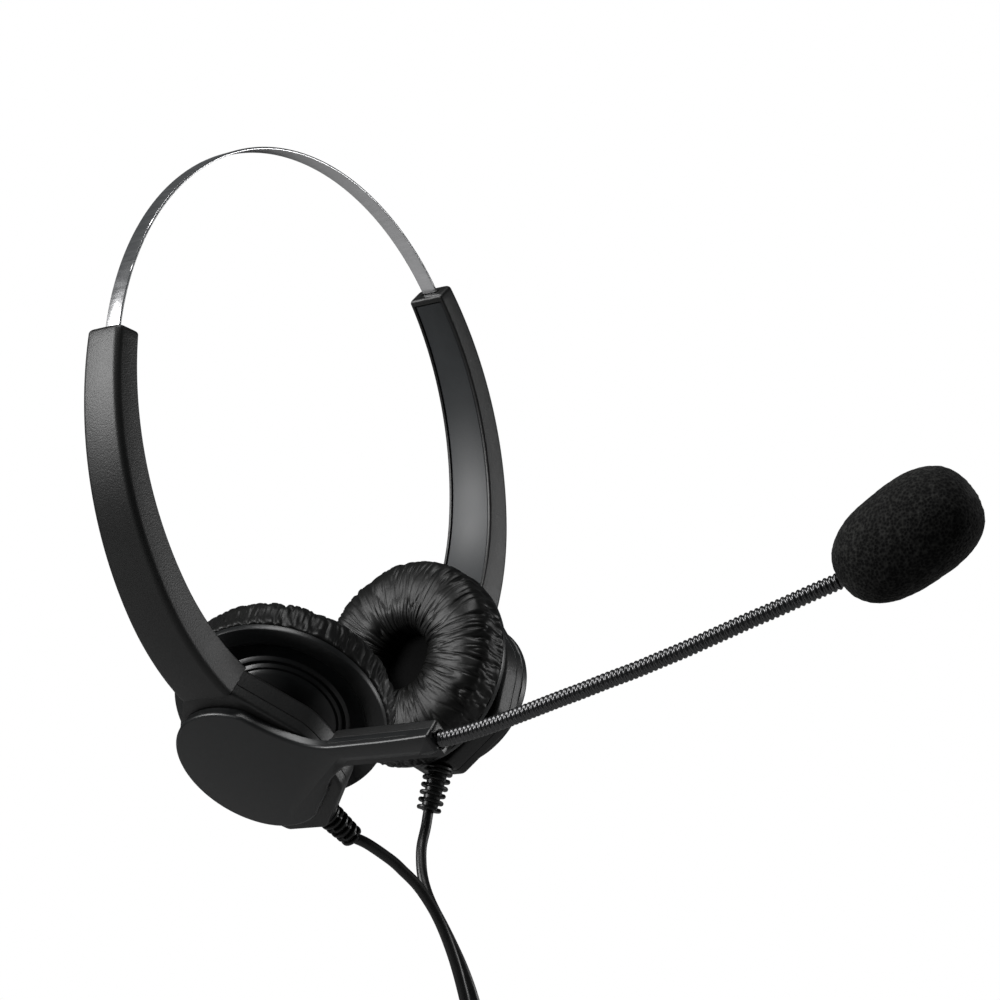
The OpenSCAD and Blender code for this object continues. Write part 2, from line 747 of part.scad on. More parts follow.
lead(RIGHT);  // lead_right
lead(LEFT);  // lead_left
y_splitter();
main_cord();
cord_hank();
cord_tie();
plug_body();
plug_contacts();
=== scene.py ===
import json
import math

import bmesh
import bpy
from mathutils import Matrix, Vector, noise


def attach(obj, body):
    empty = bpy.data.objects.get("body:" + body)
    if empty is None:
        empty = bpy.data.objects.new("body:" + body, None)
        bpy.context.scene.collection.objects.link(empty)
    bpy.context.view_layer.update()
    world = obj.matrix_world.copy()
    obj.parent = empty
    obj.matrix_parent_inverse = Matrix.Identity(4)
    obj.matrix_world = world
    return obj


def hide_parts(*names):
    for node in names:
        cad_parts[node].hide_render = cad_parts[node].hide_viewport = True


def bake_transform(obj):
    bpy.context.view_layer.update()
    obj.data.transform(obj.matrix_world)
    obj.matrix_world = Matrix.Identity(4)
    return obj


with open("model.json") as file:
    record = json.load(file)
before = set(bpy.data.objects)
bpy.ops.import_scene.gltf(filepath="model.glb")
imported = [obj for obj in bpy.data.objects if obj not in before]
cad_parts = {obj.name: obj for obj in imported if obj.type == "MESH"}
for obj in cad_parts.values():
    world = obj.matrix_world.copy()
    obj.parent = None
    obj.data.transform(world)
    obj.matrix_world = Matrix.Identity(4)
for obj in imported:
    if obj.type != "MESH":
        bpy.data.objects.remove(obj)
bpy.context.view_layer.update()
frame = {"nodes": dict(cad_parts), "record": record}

# The looks of a wired two-ear office headset. Sizes are in millimetres, in the frame of the CAD
# part: +X forward, +Y the wearer's left, +Z up, and the origin under the band's crown.
MM = 0.001
RIGHT = -1
LEFT = 1
SIDES = {RIGHT: "right", LEFT: "left"}

# --- Driving sizes, as in the CAD source ---

# Headband and arms. Angles are in degrees from straight up, about the centre of each arc. ARM_W
# and ARM_T run from the mouth to the hub, and the width is full at ARM_FULL_ANGLE.
BAND_R = 70.0
BAND_W = 4.6
BAND_T = 0.7
MOUTH_ANGLE = 65.8
BAND_END = MOUTH_ANGLE + 10
UPPER_R = 87.0
LOWER_R = 64.0
TURN_ANGLE = MOUTH_ANGLE + 43.9
ARM_END_ANGLE = 138.0
ARM_W = (10.9, 16.0)
ARM_T = (6.7, 9.9)
ARM_FULL_ANGLE = 133.0
ARM_RIM = 1.0
BAND_SLOT_GAP = 0.5

# Hubs, and the ball on which each cup tilts, in the hub's own frame
HUB_Y = 45.9
HUB_DROP = 151.6
HUB_TILT = math.radians(34)
HUB_R = 21.0
HUB_TOP = 23.0
HUB_FOOT = 24.0
HUB_FACE = -3.0
HUB_SPLIT = -6.2
HUB_INNER = -11.5
PIVOT = Vector((0, 0.5, -14.3))
NOD = {RIGHT: -3.0, LEFT: -5.5}
TURN = {RIGHT: 12.0, LEFT: 0.0}

# Boom, gooseneck and foam
DISC_R = 19.5
DISC_T = 2.7
NECK_LEN = 58.0
NECK_START = 26.5
NECK_TOP = 6.0
NECK_BOTTOM = -2.4
NECK_T = 6.2
GOOSENECK_EXIT = Vector((NECK_LEN, 1.8, -3.1))
GOOSENECK_D = 3.7
GOOSENECK_PITCH = 1.26
GOOSENECK_STEP = 0.14
GOOSENECK_SPLIT_X = 110
GOOSENECK = [
    (53, -44.3, -148.4), (58, -44.3, -148.4), (66, -44.2, -147.4), (75, -44, -145.8),
    (83, -43.7, -144.1), (91, -43.2, -142.3), (98, -42.5, -140.8), (105, -41.6, -139.2),
    (112, -40.6, -137.7), (118, -39.5, -136.2), (124, -38.3, -134.7), (129, -37, -133.3),
    (134, -35.7, -131.9), (139, -34.3, -130.5), (144, -32.9, -129.2), (149, -31.4, -127.8),
    (154, -29.9, -126.4), (158.5, -28.6, -125.2), (162.4, -27.5, -123.9),
]
FOAM_CENTRE = Vector((174.1, -24.2, -117.9))
FOAM_RISE = math.radians(26.7)
FOAM_SWING = math.radians(16.2)
FOAM_LEN = 34.5
FOAM_D = 24.0

# Ear cups, with z outwards from the ball
CUSHION_R = 27.8
CUSHION_HOLE_R = 8.0
FLANGE_Z = -5.1
FLANGE_T = 1.8
BAFFLE_FACE_Z = -9.2
CUSHION_FRONT_Z = FLANGE_Z - FLANGE_T - 11.5
CUSHION_BACK_Z = BAFFLE_FACE_Z - 0.5
CUSHION_SEAM_Z = -10.4
CUSHION_SKIRT_POINTS = 8

# Cords
LEAD_D = 2.8
CORD_D = 3.2
RELIEF_ROOT = Vector((3.1, -HUB_FOOT, -9.3))
RELIEF_LEN = 12.0
RELIEF_LEAN = {RIGHT: math.radians(2.5), LEFT: math.radians(-9)}
RELIEF_RIB_R = {RIGHT: 3.55, LEFT: 3.9}
RELIEF_PITCH = {RIGHT: math.radians(-9), LEFT: math.radians(5)}
LEAD_ROUTE = {
    RIGHT: [
        (6, -14, -177.7), (8.7, -9.2, -183.3), (10.1, -7.2, -186.6), (11.7, -5, -190.6),
        (13.2, -3.6, -195), (14.8, -2.8, -200), (16.2, -2.4, -206), (17.3, -2.2, -213),
        (18, -2.2, -221), (18.2, -2.2, -230), (18.2, -2.2, -240),
    ],
    LEFT: [
        (1.7, 16, -180.4), (2.6, 11.7, -184.4), (3.6, 9, -188), (4.9, 6.8, -191.5),
        (6.9, 4.8, -195.2), (9.2, 3.4, -199), (11.6, 2.7, -203.4), (13.8, 2.3, -208.4),
        (15.8, 2.2, -214.4), (17.3, 2.2, -221.4), (18.2, 2.2, -230), (18.2, 2.2, -240),
    ],
}
CORD_X = 18.2
SPLITTER_TOP = -240.0
SPLITTER_LEN = 16.0
CORD_START = SPLITTER_TOP - SPLITTER_LEN
HANK_RUN = 51.0
HANK_FOLD_R = 9.6
HANK_LAYER = 3.2
FOLD_STEPS = 8
HANK_R = HANK_FOLD_R + HANK_LAYER + CORD_D / 2
HANK_T = 10.4
HANK_X = CORD_X + CORD_D / 2 - HANK_R
HANK_Z = CORD_START - 10 - HANK_R - HANK_RUN / 2
HANK_FOOT = HANK_Z - HANK_RUN / 2 - HANK_R
PLUG_TOP = HANK_FOOT - 6
TIE_H = 7.0


# --- Meshes ---

X_AXIS, Y_AXIS, Z_AXIS = Vector((1, 0, 0)), Vector((0, 1, 0)), Vector((0, 0, 1))


def frame_of(x, y, z, origin):
    """The matrix of a frame with these axes and origin."""
    m = Matrix((x, y, z)).transposed().to_4x4()
    m.translation = origin
    return m


def hub_frame(side):
    """A hub's frame: x forward, y up along the hub, z outwards from the boom disc's face."""
    sin, cos = math.sin(HUB_TILT), math.cos(HUB_TILT)
    return frame_of(
        X_AXIS, Vector((0, side * sin, cos)), Vector((0, side * cos, -sin)),
        Vector((0, side * HUB_Y, -HUB_DROP)),
    )


def cup_frame(side):
    """A cup's frame: the hub's, moved to the ball, then nodded and turned; +z is outwards."""
    return (
        hub_frame(side)
        @ Matrix.Translation(PIVOT)
        @ Matrix.Rotation(math.radians(NOD[side]), 4, "X")
        @ Matrix.Rotation(math.radians(TURN[side]), 4, "Y")
    )


def linked(name, mesh):
    """A new object of the scene, made of a mesh."""
    obj = bpy.data.objects.new(name, mesh)
    bpy.context.scene.collection.objects.link(obj)
    return obj


def shade(mesh, sharp=35):
    """Smooth shading that leaves the edges above an angle sharp."""
    mesh.shade_smooth()
    mesh.set_sharp_from_angle(angle=math.radians(sharp))


def apply_modifiers(obj):
    """Give an object the mesh that its modifiers make, and remove them."""
    graph = bpy.context.evaluated_depsgraph_get()
    mesh = bpy.data.meshes.new_from_object(obj.evaluated_get(graph))
    obj.modifiers.clear()
    obj.data = mesh


def add_mesh(name, verts, faces, placed=None, sharp=35):
    """A mesh object from points in millimetres, with smooth shading up to an angle."""
    placed = placed or Matrix.Identity(4)
    mesh = bpy.data.meshes.new(name)
    mesh.from_pydata([placed @ Vector(v) * MM for v in verts], [], faces)
    bm = bmesh.new()
    bm.from_mesh(mesh)
    bmesh.ops.remove_doubles(bm, verts=bm.verts, dist=2e-7)
    bmesh.ops.recalc_face_normals(bm, faces=bm.faces)
    bm.to_mesh(mesh)
    bm.free()
    shade(mesh, sharp)
    return linked(name, mesh)


def skin(rings, cap=True, wrap=False):
    """Points and faces of a surface through rings of equal size."""
    n = len(rings[0])
    count = len(rings)
    verts = [p for ring in rings for p in ring]
    faces = []
    for i in range(count if wrap else count - 1):
        a, b = i * n, (i + 1) % count * n
        faces += [(a + k, a + (k + 1) % n, b + (k + 1) % n, b + k) for k in range(n)]
    if cap and not wrap:
        faces.append(tuple(range(n))[::-1])
        faces.append(tuple(range((count - 1) * n, count * n)))
    return verts, faces


def circle(radius, z, sides):
    """A ring of points round the z axis."""
    return [
        (radius * math.cos(a), radius * math.sin(a), z)
        for a in (2 * math.pi * k / sides for k in range(sides))
    ]


def lathe(name, profile, placed, sides):
    """A turned piece: the profile's points are (radius, z), and the last joins the first."""
    rings = [circle(r, z, sides) for r, z in profile]
    return add_mesh(name, *skin(rings, cap=False, wrap=True), placed)


def fillet(corners, steps=5):
    """An outline whose corners (x, y, radius) are rounded."""
    points = []
    count = len(corners)
    for i, (x, y, r) in enumerate(corners):
        p = Vector((x, y))
        a = (Vector(corners[i - 1][:2]) - p).normalized()
        b = (Vector(corners[(i + 1) % count][:2]) - p).normalized()
        if r <= 0:
            points.append((x, y))
            continue
        half = a.angle(b) / 2
        reach = r / math.tan(half)
        centre = p + (a + b).normalized() * (r / math.sin(half))
        start, end = p + a * reach - centre, p + b * reach - centre
        sweep = start.angle_signed(end)
        for k in range(steps + 1):
            turn = -sweep * k / steps
            points.append(tuple(centre + Matrix.Rotation(turn, 2) @ start))
    return points


def rounded_box(x0, y0, x1, y1, r, steps):
    """A rectangle between two corners, with rounded corners."""
    return fillet([(x0, y0, r), (x1, y0, r), (x1, y1, r), (x0, y1, r)], steps)


def arc(cx, cy, r, start, end, steps):
    """Points on an arc, by angles in degrees."""
    return [
        (cx + r * math.cos(math.radians(a)), cy + r * math.sin(math.radians(a)))
        for a in (start + (end - start) * k / steps for k in range(steps + 1))
    ]


def bezier(a, b, c, steps):
    """Points on a quadratic curve from a to c, pulled towards b, without its ends."""
    return [
        tuple(((1 - s) ** 2 * a[k] + 2 * s * (1 - s) * b[k] + s * s * c[k]) for k in (0, 1))
        for s in (i / steps for i in range(1, steps))
    ]


def inset(outline, amounts):
    """The outline moved inwards by an amount at each point; it runs anticlockwise."""
    moved = []
    count = len(outline)
    for i, p in enumerate(outline):
        p = Vector(p)
        before = (p - Vector(outline[i - 1])).normalized()
        after = (Vector(outline[(i + 1) % count]) - p).normalized()
        inward = Vector((-before.y - after.y, before.x + after.x))
        inward = inward.normalized() / max(0.5, inward.length / 2)
        moved.append(p + inward * amounts[i])
    return moved


def quarter(r, steps=5):
    """(inset, depth) pairs of a rounded rim of radius r, from its side to its face."""
    angles = [math.pi / 2 * k / steps for k in range(steps + 1)]
    return [(r * (1 - math.cos(a)), r * (1 - math.sin(a))) for a in angles]


def plate(name, outline, low, high, placed, low_rim=0.3, high_rim=0.3, chamfer=None):
    """An extruded outline with rounded rims. chamfer(point) may give a point its own
    (share, width, depth) of a flat slope in place of the high rim."""
    count = len(outline)
    rings = []
    for inwards, depth in reversed(quarter(low_rim)):
        rings.append([(*p, low + depth) for p in inset(outline, [inwards] * count)])
    slopes = [chamfer(p) if chamfer else (0, 0, 0) for p in outline]
    steps = quarter(high_rim)
    for k, (inwards, depth) in enumerate(steps):
        along = k / (len(steps) - 1)
        insets = [inwards + share * (wide * along - inwards) for share, wide, _ in slopes]
        depths = [depth + share * (deep * (1 - along) - depth) for share, _, deep in slopes]
        points = inset(outline, insets)
        rings.append([(*points[i], high - depths[i]) for i in range(count)])
    return add_mesh(name, *skin(rings), placed)


def smooth_route(points, step):
    """Evenly spaced points on a smooth curve through the given ones, and its length."""
    between = 24
    pts = [Vector(p) for p in points]
    pts = [2 * pts[0] - pts[1], *pts, 2 * pts[-1] - pts[-2]]
    fine = []
    for a, b, c, d in zip(pts, pts[1:], pts[2:], pts[3:]):
        for k in range(between):
            t = k / between
            fine.append(
                0.5 * (2 * b + (c - a) * t + (2 * a - 5 * b + 4 * c - d) * t * t
                       + (3 * b - a - 3 * c + d) * t ** 3)
            )
    fine.append(pts[-2])
    lengths = [0.0]
    for a, b in zip(fine, fine[1:]):
        lengths.append(lengths[-1] + (b - a).length)
    count = max(2, round(lengths[-1] / step))
    even = []
    at = 0
    for k in range(count + 1):
        target = lengths[-1] * k / count
        while at < len(fine) - 2 and lengths[at + 1] < target:
            at += 1
        share = (target - lengths[at]) / max(1e-9, lengths[at + 1] - lengths[at])
        even.append(fine[at].lerp(fine[at + 1], share))
    return even, lengths[-1]


def tube(name, route, radius_at, sides=24, sharp=60):
    """A round tube along a route; radius_at(i) is its radius at the route's point i."""
    rings = []
    across = Z_AXIS
    for i, p in enumerate(route):
        along = (route[min(i + 1, len(route) - 1)] - route[max(i - 1, 0)]).normalized()
        across = (across - along * across.dot(along)).normalized()
        other = along.cross(across)
        r = radius_at(i)
        rings.append([
            p + (across * math.cos(a) + other * math.sin(a)) * r
            for a in (2 * math.pi * k / sides for k in range(sides))
        ])
    return add_mesh(name, *skin(rings), sharp=sharp)


def cut(obj, tool):
    """Take the tool's volume out of an object, and remove the tool."""
    modifier = obj.modifiers.new("cut", "BOOLEAN")
    modifier.object = tool
    modifier.operation = "DIFFERENCE"
    modifier.solver = "EXACT"
    apply_modifiers(obj)
    bpy.data.objects.remove(tool)
    shade(obj.data)


def soften(obj, width):
    """Break the sharp edges of a piece."""
    modifier = obj.modifiers.new("edges", "BEVEL")
    modifier.width = width * MM
    modifier.segments = 2
    modifier.limit_method = "ANGLE"
    modifier.angle_limit = math.radians(35)
    modifier.use_clamp_overlap = True
    apply_modifiers(obj)


def joined(name, parts):
    """One object made of several."""
    target = bmesh.new()
    for part in parts:
        target.from_mesh(part.data)
        bpy.data.objects.remove(part)
    mesh = bpy.data.meshes.new(name)
    target.to_mesh(mesh)
    target.free()
    shade(mesh)
    return linked(name, mesh)


# --- Materials ---

def grey(value):
    """A colour of no hue."""
    return (value, value, value)


def new_material(name):
    """A node material, with its node tree and its shader."""
    material = bpy.data.materials.new(name)
    material.use_nodes = True
    tree = material.node_tree
    return material, tree, tree.nodes["Principled BSDF"]


def object_point(tree, scale=(1, 1, 1)):
    """Object coordinates, stretched, for patterns that don't depend on UVs."""
    where = tree.nodes.new("ShaderNodeTexCoord")
    mapping = tree.nodes.new("ShaderNodeMapping")
    mapping.inputs["Scale"].default_value = scale
    tree.links.new(where.outputs["Object"], mapping.inputs["Vector"])
    return mapping.outputs["Vector"]


def noise_of(tree, vector, scale, detail, rough=0.6):
    """A noise pattern, from 0 to 1."""
    texture = tree.nodes.new("ShaderNodeTexNoise")
    texture.inputs["Scale"].default_value = scale
    texture.inputs["Detail"].default_value = detail
    texture.inputs["Roughness"].default_value = rough
    tree.links.new(vector, texture.inputs["Vector"])
    return texture.outputs["Fac"]


def ramp_of(tree, factor, low, high, at=(0.3, 0.7)):
    """A colour that runs between two others as a factor runs between two values."""
    ramp = tree.nodes.new("ShaderNodeValToRGB")
    ramp.color_ramp.elements[0].position = at[0]
    ramp.color_ramp.elements[1].position = at[1]
    ramp.color_ramp.elements[0].color = (*low, 1)
    ramp.color_ramp.elements[1].color = (*high, 1)
    tree.links.new(factor, ramp.inputs["Fac"])
    return ramp.outputs["Color"]


def range_of(tree, factor, low, high):
    """A pattern spread between two values."""
    spread = tree.nodes.new("ShaderNodeMapRange")
    spread.inputs["To Min"].default_value = low
    spread.inputs["To Max"].default_value = high
    tree.links.new(factor, spread.inputs["Value"])
    return spread.outputs["Result"]


def bump_of(tree, height, strength, distance, under=None):
    """Relief from a pattern, on top of another relief where there is one."""
    bump = tree.nodes.new("ShaderNodeBump")
    bump.inputs["Strength"].default_value = strength
    bump.inputs["Distance"].default_value = distance
    tree.links.new(height, bump.inputs["Height"])
    if under:
        tree.links.new(under, bump.inputs["Normal"])
    return bump.outputs["Normal"]


def dress(tree, shader, colour=None, roughness=None, normal=None):
    """Lead patterns into the shader's sockets."""
    for socket, pattern in (("Base Color", colour), ("Roughness", roughness), ("Normal", normal)):
        if pattern is not None:
            tree.links.new(pattern, shader.inputs[socket])


def plastic(name, dark, light, roughness, grain, depth):
    """Moulded plastic: a fine spark-eroded grain, a slight unevenness of colour and gloss."""
    material, tree, shader = new_material(name)
    point = object_point(tree)
    cloud = noise_of(tree, point, 60, 3)
    fine = noise_of(tree, point, grain, 2)
    dress(
        tree, shader,
        colour=ramp_of(tree, cloud, dark, light),
        roughness=range_of(tree, cloud, roughness - 0.05, roughness + 0.06),
        normal=bump_of(tree, fine, 0.6, depth),
    )
    return material


def steel(name, colour, roughness, stretch=(1, 1, 1)):
    """Rolled, plated or turned metal: fine streaks, drawn out along one way by the stretch."""
    material, tree, shader = new_material(name)
    point = object_point(tree, stretch)
    streak = noise_of(tree, point, 900, 3)
    dim = tuple(0.86 * c for c in colour)
    dress(
        tree, shader,
        colour=ramp_of(tree, streak, dim, colour),
        roughness=range_of(tree, streak, roughness - 0.04, roughness + 0.08),
        normal=bump_of(tree, streak, 0.03, 0.00001),
    )
    shader.inputs["Metallic"].default_value = 1.0
    return material


def rubber(name, dark, light, roughness):
    """Soft moulded PVC with a dull, slightly mottled skin."""
    material, tree, shader = new_material(name)
    point = object_point(tree)
    cloud = noise_of(tree, point, 220, 4)
    fine = noise_of(tree, point, 3000, 2)
    dress(
        tree, shader,
        colour=ramp_of(tree, cloud, dark, light),
        roughness=range_of(tree, cloud, roughness - 0.08, roughness + 0.08),
        normal=bump_of(tree, fine, 0.25, 0.00003),
    )
    return material


def foam_material(name):
    """Open-cell foam: cell-sized pits painted near black, as painted shade inside the cells, with lighter
    strands between them.
    """
    material, tree, shader = new_material(name)
    point = object_point(tree)
    cells = tree.nodes.new("ShaderNodeTexVoronoi")
    cells.inputs["Scale"].default_value = 1500
    tree.links.new(point, cells.inputs["Vector"])
    coarse = noise_of(tree, point, 420, 5, 0.75)
    strands = tree.nodes.new("ShaderNodeMath")
    strands.operation = "MULTIPLY"
    tree.links.new(cells.outputs["Distance"], strands.inputs[0])
    tree.links.new(coarse, strands.inputs[1])
    height = strands.outputs["Value"]
    # The colour runs from near black in the pits to grey on the strands: painted shade in the cells.
    dress(
        tree, shader,
        colour=ramp_of(tree, height, grey(0.001), (0.032, 0.032, 0.03), (0.16, 0.62)),
        normal=bump_of(tree, height, 0.9, 0.0004),
    )
    shader.inputs["Roughness"].default_value = 0.95
    shader.inputs["Specular IOR Level"].default_value = 0.15
    shader.inputs["Sheen Weight"].default_value = 0.03
    shader.inputs["Sheen Roughness"].default_value = 0.5
    return material


def leatherette(name):
    """Thin coated cloth: fine pebbled grain over creases, soft sheen on the ridges."""
    material, tree, shader = new_material(name)
    point = object_point(tree)
    pebbles = tree.nodes.new("ShaderNodeTexVoronoi")
    pebbles.feature = "SMOOTH_F1"
    pebbles.inputs["Scale"].default_value = 1400
    tree.links.new(point, pebbles.inputs["Vector"])
    creases = noise_of(tree, point, 330, 6, 0.65)
    cloud = noise_of(tree, point, 90, 3)
    under = bump_of(tree, creases, 0.2, 0.0003)
    dress(
        tree, shader,
        colour=ramp_of(tree, cloud, (0.0025, 0.0025, 0.0024), (0.006, 0.006, 0.0056)),
        roughness=range_of(tree, creases, 0.34, 0.5),
        normal=bump_of(tree, pebbles.outputs["Distance"], 0.18, 0.00008, under),
    )
    shader.inputs["Specular IOR Level"].default_value = 0.26
    return material


def cloth(name):
    """A plain woven cloth with fine threads, close to black, and made darker still as painted shade for
    the scrim at the bottom of the cushions' holes.
    """
    material, tree, shader = new_material(name)
    point = object_point(tree)
    weave = tree.nodes.new("ShaderNodeTexWave")
    weave.inputs["Scale"].default_value = 900
    weave.inputs["Distortion"].default_value = 1.5
    tree.links.new(point, weave.inputs["Vector"])
    # The colour is darker than the cloth's own black: painted shade for the cushion's deep hole.
    dress(
        tree, shader,
        colour=ramp_of(tree, weave.outputs["Fac"], grey(0.0006), grey(0.003)),
        normal=bump_of(tree, weave.outputs["Fac"], 0.6, 0.0001),
    )
    shader.inputs["Roughness"].default_value = 0.9
    shader.inputs["Specular IOR Level"].default_value = 0.1
    return material


def clear_plastic(name):
    """Clear moulded polycarbonate, with faint flow marks."""
    material, tree, shader = new_material(name)
    point = object_point(tree)
    flow = noise_of(tree, point, 150, 2)
    dress(
        tree, shader,
        colour=ramp_of(tree, flow, (0.62, 0.66, 0.7), (0.8, 0.83, 0.85)),
        roughness=range_of(tree, flow, 0.06, 0.16),
    )
    shader.inputs["Transmission Weight"].default_value = 0.75
    shader.inputs["IOR"].default_value = 1.45
    return material


# The look of each material slot of the CAD record
M = {
    "spring_steel": steel("rolled_spring_steel", (0.86, 0.86, 0.87), 0.2, (0.15, 1, 1)),
    "black_shell": plastic(
        "grained_black_abs", (0.003, 0.0031, 0.003), (0.006, 0.0062, 0.006), 0.42, 2400, 0.0001
    ),
    "satin_cover": plastic(
        "satin_black_plastic", (0.0035, 0.004, 0.0042), (0.006, 0.0068, 0.0072), 0.36, 2600, 0.00003
    ),
    "screw_steel": steel("zinc_plated_steel", (0.62, 0.62, 0.63), 0.3),
    "rubber_black": rubber("soft_black_pvc", grey(0.003), grey(0.007), 0.38),
    "gooseneck_steel": steel("black_nickel_coil", (0.12, 0.12, 0.122), 0.26),
    "foam_black": foam_material("open_cell_foam_painted_pit_shade"),
    "leatherette": leatherette("black_leatherette"),
    "scrim_cloth": cloth("acoustic_cloth_painted_hole_shade"),
    "nylon_natural": plastic(
        "natural_nylon", (0.6, 0.58, 0.52), (0.7, 0.68, 0.62), 0.4, 1200, 0.00003
    ),
    "speaker_frame": plastic(
        "speaker_frame_plastic", (0.05, 0.05, 0.045), (0.08, 0.08, 0.07), 0.5, 1200, 0.00004
    ),
    "clear_plug": clear_plastic("clear_polycarbonate"),
    "contact_gold": steel("gold_plating", (0.83, 0.62, 0.25), 0.22, (1, 1, 0.2)),
}

# The inner covers of the arms, which are paler than the hubs: a paler copy of the satin black plastic,
# painted sheen for the light that their faces reflect
COVER_SATIN_PAINTED_SHEEN = plastic(
    "paler_satin_plastic_painted_sheen", (0.016, 0.018, 0.0195), (0.024, 0.0268, 0.029), 0.46, 2600, 0.00003
)


def finish_piece(obj, slot, body, *nodes, look=None):
    """Give a piece its material and its body, and say which CAD nodes it stands for."""
    obj.data.materials.clear()
    obj.data.materials.append(look or M[slot])
    if body:
        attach(obj, body)
    if nodes:
        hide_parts(*nodes)
    return obj


# --- Camera and light ---

CAMERA_AZIMUTH = 35.18
CAMERA_ELEVATION = 2.07
CAMERA_ROLL = -10.54
CAMERA_PLACE = (422.5, -520.5, -74.9)
CAMERA_LENS = 93.9
SENSOR = 36.0
FLOOR_Z = -0.42
FLOOR_HALF = 6.0


def set_camera():
    """A camera turned by its azimuth and elevation, then rolled about its line of sight."""
    azimuth, elevation, roll = (
        math.radians(a) for a in (CAMERA_AZIMUTH, CAMERA_ELEVATION, CAMERA_ROLL)
    )
    back = Vector((
        math.sin(azimuth) * math.cos(elevation),
        -math.cos(azimuth) * math.cos(elevation),
        math.sin(elevation),
    ))
    across = Vector((math.cos(azimuth), math.sin(azimuth), 0))
    up = back.cross(across)
    turned = math.cos(roll) * across + math.sin(roll) * up
    risen = -math.sin(roll) * across + math.cos(roll) * up
    data = bpy.data.cameras.new("camera")
    data.lens = CAMERA_LENS
    data.sensor_width = SENSOR
    data.clip_start = 0.01
    camera = linked("camera", data)
    camera.matrix_world = frame_of(turned, risen, back, Vector(CAMERA_PLACE) * MM)
    bpy.context.scene.camera = camera


def area_light(name, place, target, size, power):
    """A soft rectangular light that faces its target; places and sizes are in metres."""
    data = bpy.data.lights.new(name, "AREA")
    data.shape = "RECTANGLE"
    data.size, data.size_y = size
    data.energy = power
    light = linked(name, data)
    light.location = place
    way = Vector(target) - Vector(place)
    light.rotation_euler = way.to_track_quat("-Z", "Y").to_euler()


def seen_white(tree, output, lit, white_kind):
    """What the camera sees directly is white, and what lights the object is the lit shader."""
    links = tree.links
    ray = tree.nodes.new("ShaderNodeLightPath")
    mix = tree.nodes.new("ShaderNodeMixShader")
    white = tree.nodes.new(white_kind)
    white.inputs["Color"].default_value = (1, 1, 1, 1)
    white.inputs["Strength"].default_value = 1.0
    links.new(ray.outputs["Is Camera Ray"], mix.inputs["Fac"])
    links.new(lit.outputs[0], mix.inputs[1])
    links.new(white.outputs[0], mix.inputs[2])
    links.new(mix.outputs[0], tree.nodes[output].inputs["Surface"])


def set_surround():
    """A surround that looks white and lights the object only dimly."""
    world = bpy.data.worlds.new("white_surround")
    world.use_nodes = True
    tree = world.node_tree
    dim = tree.nodes["Background"]
    dim.inputs["Color"].default_value = (0.92, 0.97, 1, 1)
    dim.inputs["Strength"].default_value = 0.07
    seen_white(tree, "World Output", dim, "ShaderNodeBackground")
    bpy.context.scene.world = world


def build_floor():
    """A grey floor under the hanging cord, which the camera sees as white."""
    h = FLOOR_HALF
    corners = [(x, y, FLOOR_Z) for x, y in ((-h, -h), (h, -h), (h, h), (-h, h))]
    mesh = bpy.data.meshes.new("floor")
    mesh.from_pydata(corners, [], [(0, 1, 2, 3)])
    material, tree, shader = new_material("pale_floor")
    shader.inputs["Base Color"].default_value = (0.3, 0.3, 0.3, 1)
    shader.inputs["Roughness"].default_value = 0.9
    shader.inputs["Specular IOR Level"].default_value = 0.0
    seen_white(tree, "Material Output", shader, "ShaderNodeEmission")
    mesh.materials.append(material)
    linked("floor", mesh)


def set_stage():
    """The surround, the floor and three soft lights."""
    bpy.context.scene.view_settings.view_transform = "Standard"
    set_surround()
    build_floor()
    area_light("left_window", (-0.8, -0.95, 0.62), (0, -0.02, -0.08), (0.75, 0.6), 19)
    area_light("top_softbox", (0.15, -0.1, 1.0), (0.03, 0, -0.1), (0.7, 0.5), 9)
    area_light("back_panel", (0.8, 0.95, -0.31), (0.02, 0, -0.16), (0.5, 0.25), 3.5)


set_camera()
set_stage()


# --- Cords ---

def relief_point(side, along):
    """A point on a strain relief's axis, in the part's frame."""
    lean, pitch = RELIEF_LEAN[side], RELIEF_PITCH[side]
    way = Vector((
        math.sin(lean) * math.cos(pitch), -math.cos(lean) * math.cos(pitch), math.sin(pitch)
    ))
    return hub_frame(side) @ (RELIEF_ROOT + way * along)


def build_lead(side):
    """The lead of an ear, which bends between its strain relief and the joint of the leads."""
    root, exit_point = relief_point(side, RELIEF_LEN - 2), relief_point(side, RELIEF_LEN)
    route, length = smooth_route([root, exit_point, *LEAD_ROUTE[side]], 1.2)
    lead = tube(f"ear_lead_{SIDES[side]}", route, lambda i: LEAD_D / 2, sides=20)
    finish_piece(lead, "rubber_black", None, f"lead_{SIDES[side]}")
    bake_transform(lead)


def hank_lap(radius, y, y_foot, next_radius, next_y):
    """One turn of the hank as (x, y, z) about its middle: down the front run, round the foot,
    up the back run, and over the top towards the next turn's place."""
    half = HANK_RUN / 2
    folds = [k / FOLD_STEPS for k in range(1, FOLD_STEPS)]
    shift = [0, 0, 0.3, 1]
    heights = [half, half / 3, -half / 3, -half]
    down = [(radius, y + (y_foot - y) * s, z) for s, z in zip(shift, heights)]
    foot = [
        (radius * math.cos(math.pi * s), y_foot, -half - radius * math.sin(math.pi * s))
        for s in folds
    ]
    up = [(-radius, p[1], p[2]) for p in reversed(down)]
    over = []
    for s in folds:
        r = radius + (next_radius - radius) * s
        x, z = -r * math.cos(math.pi * s), half + r * math.sin(math.pi * s)
        over.append((x, y + (next_y - y) * s, z))
    return down + foot + up + over


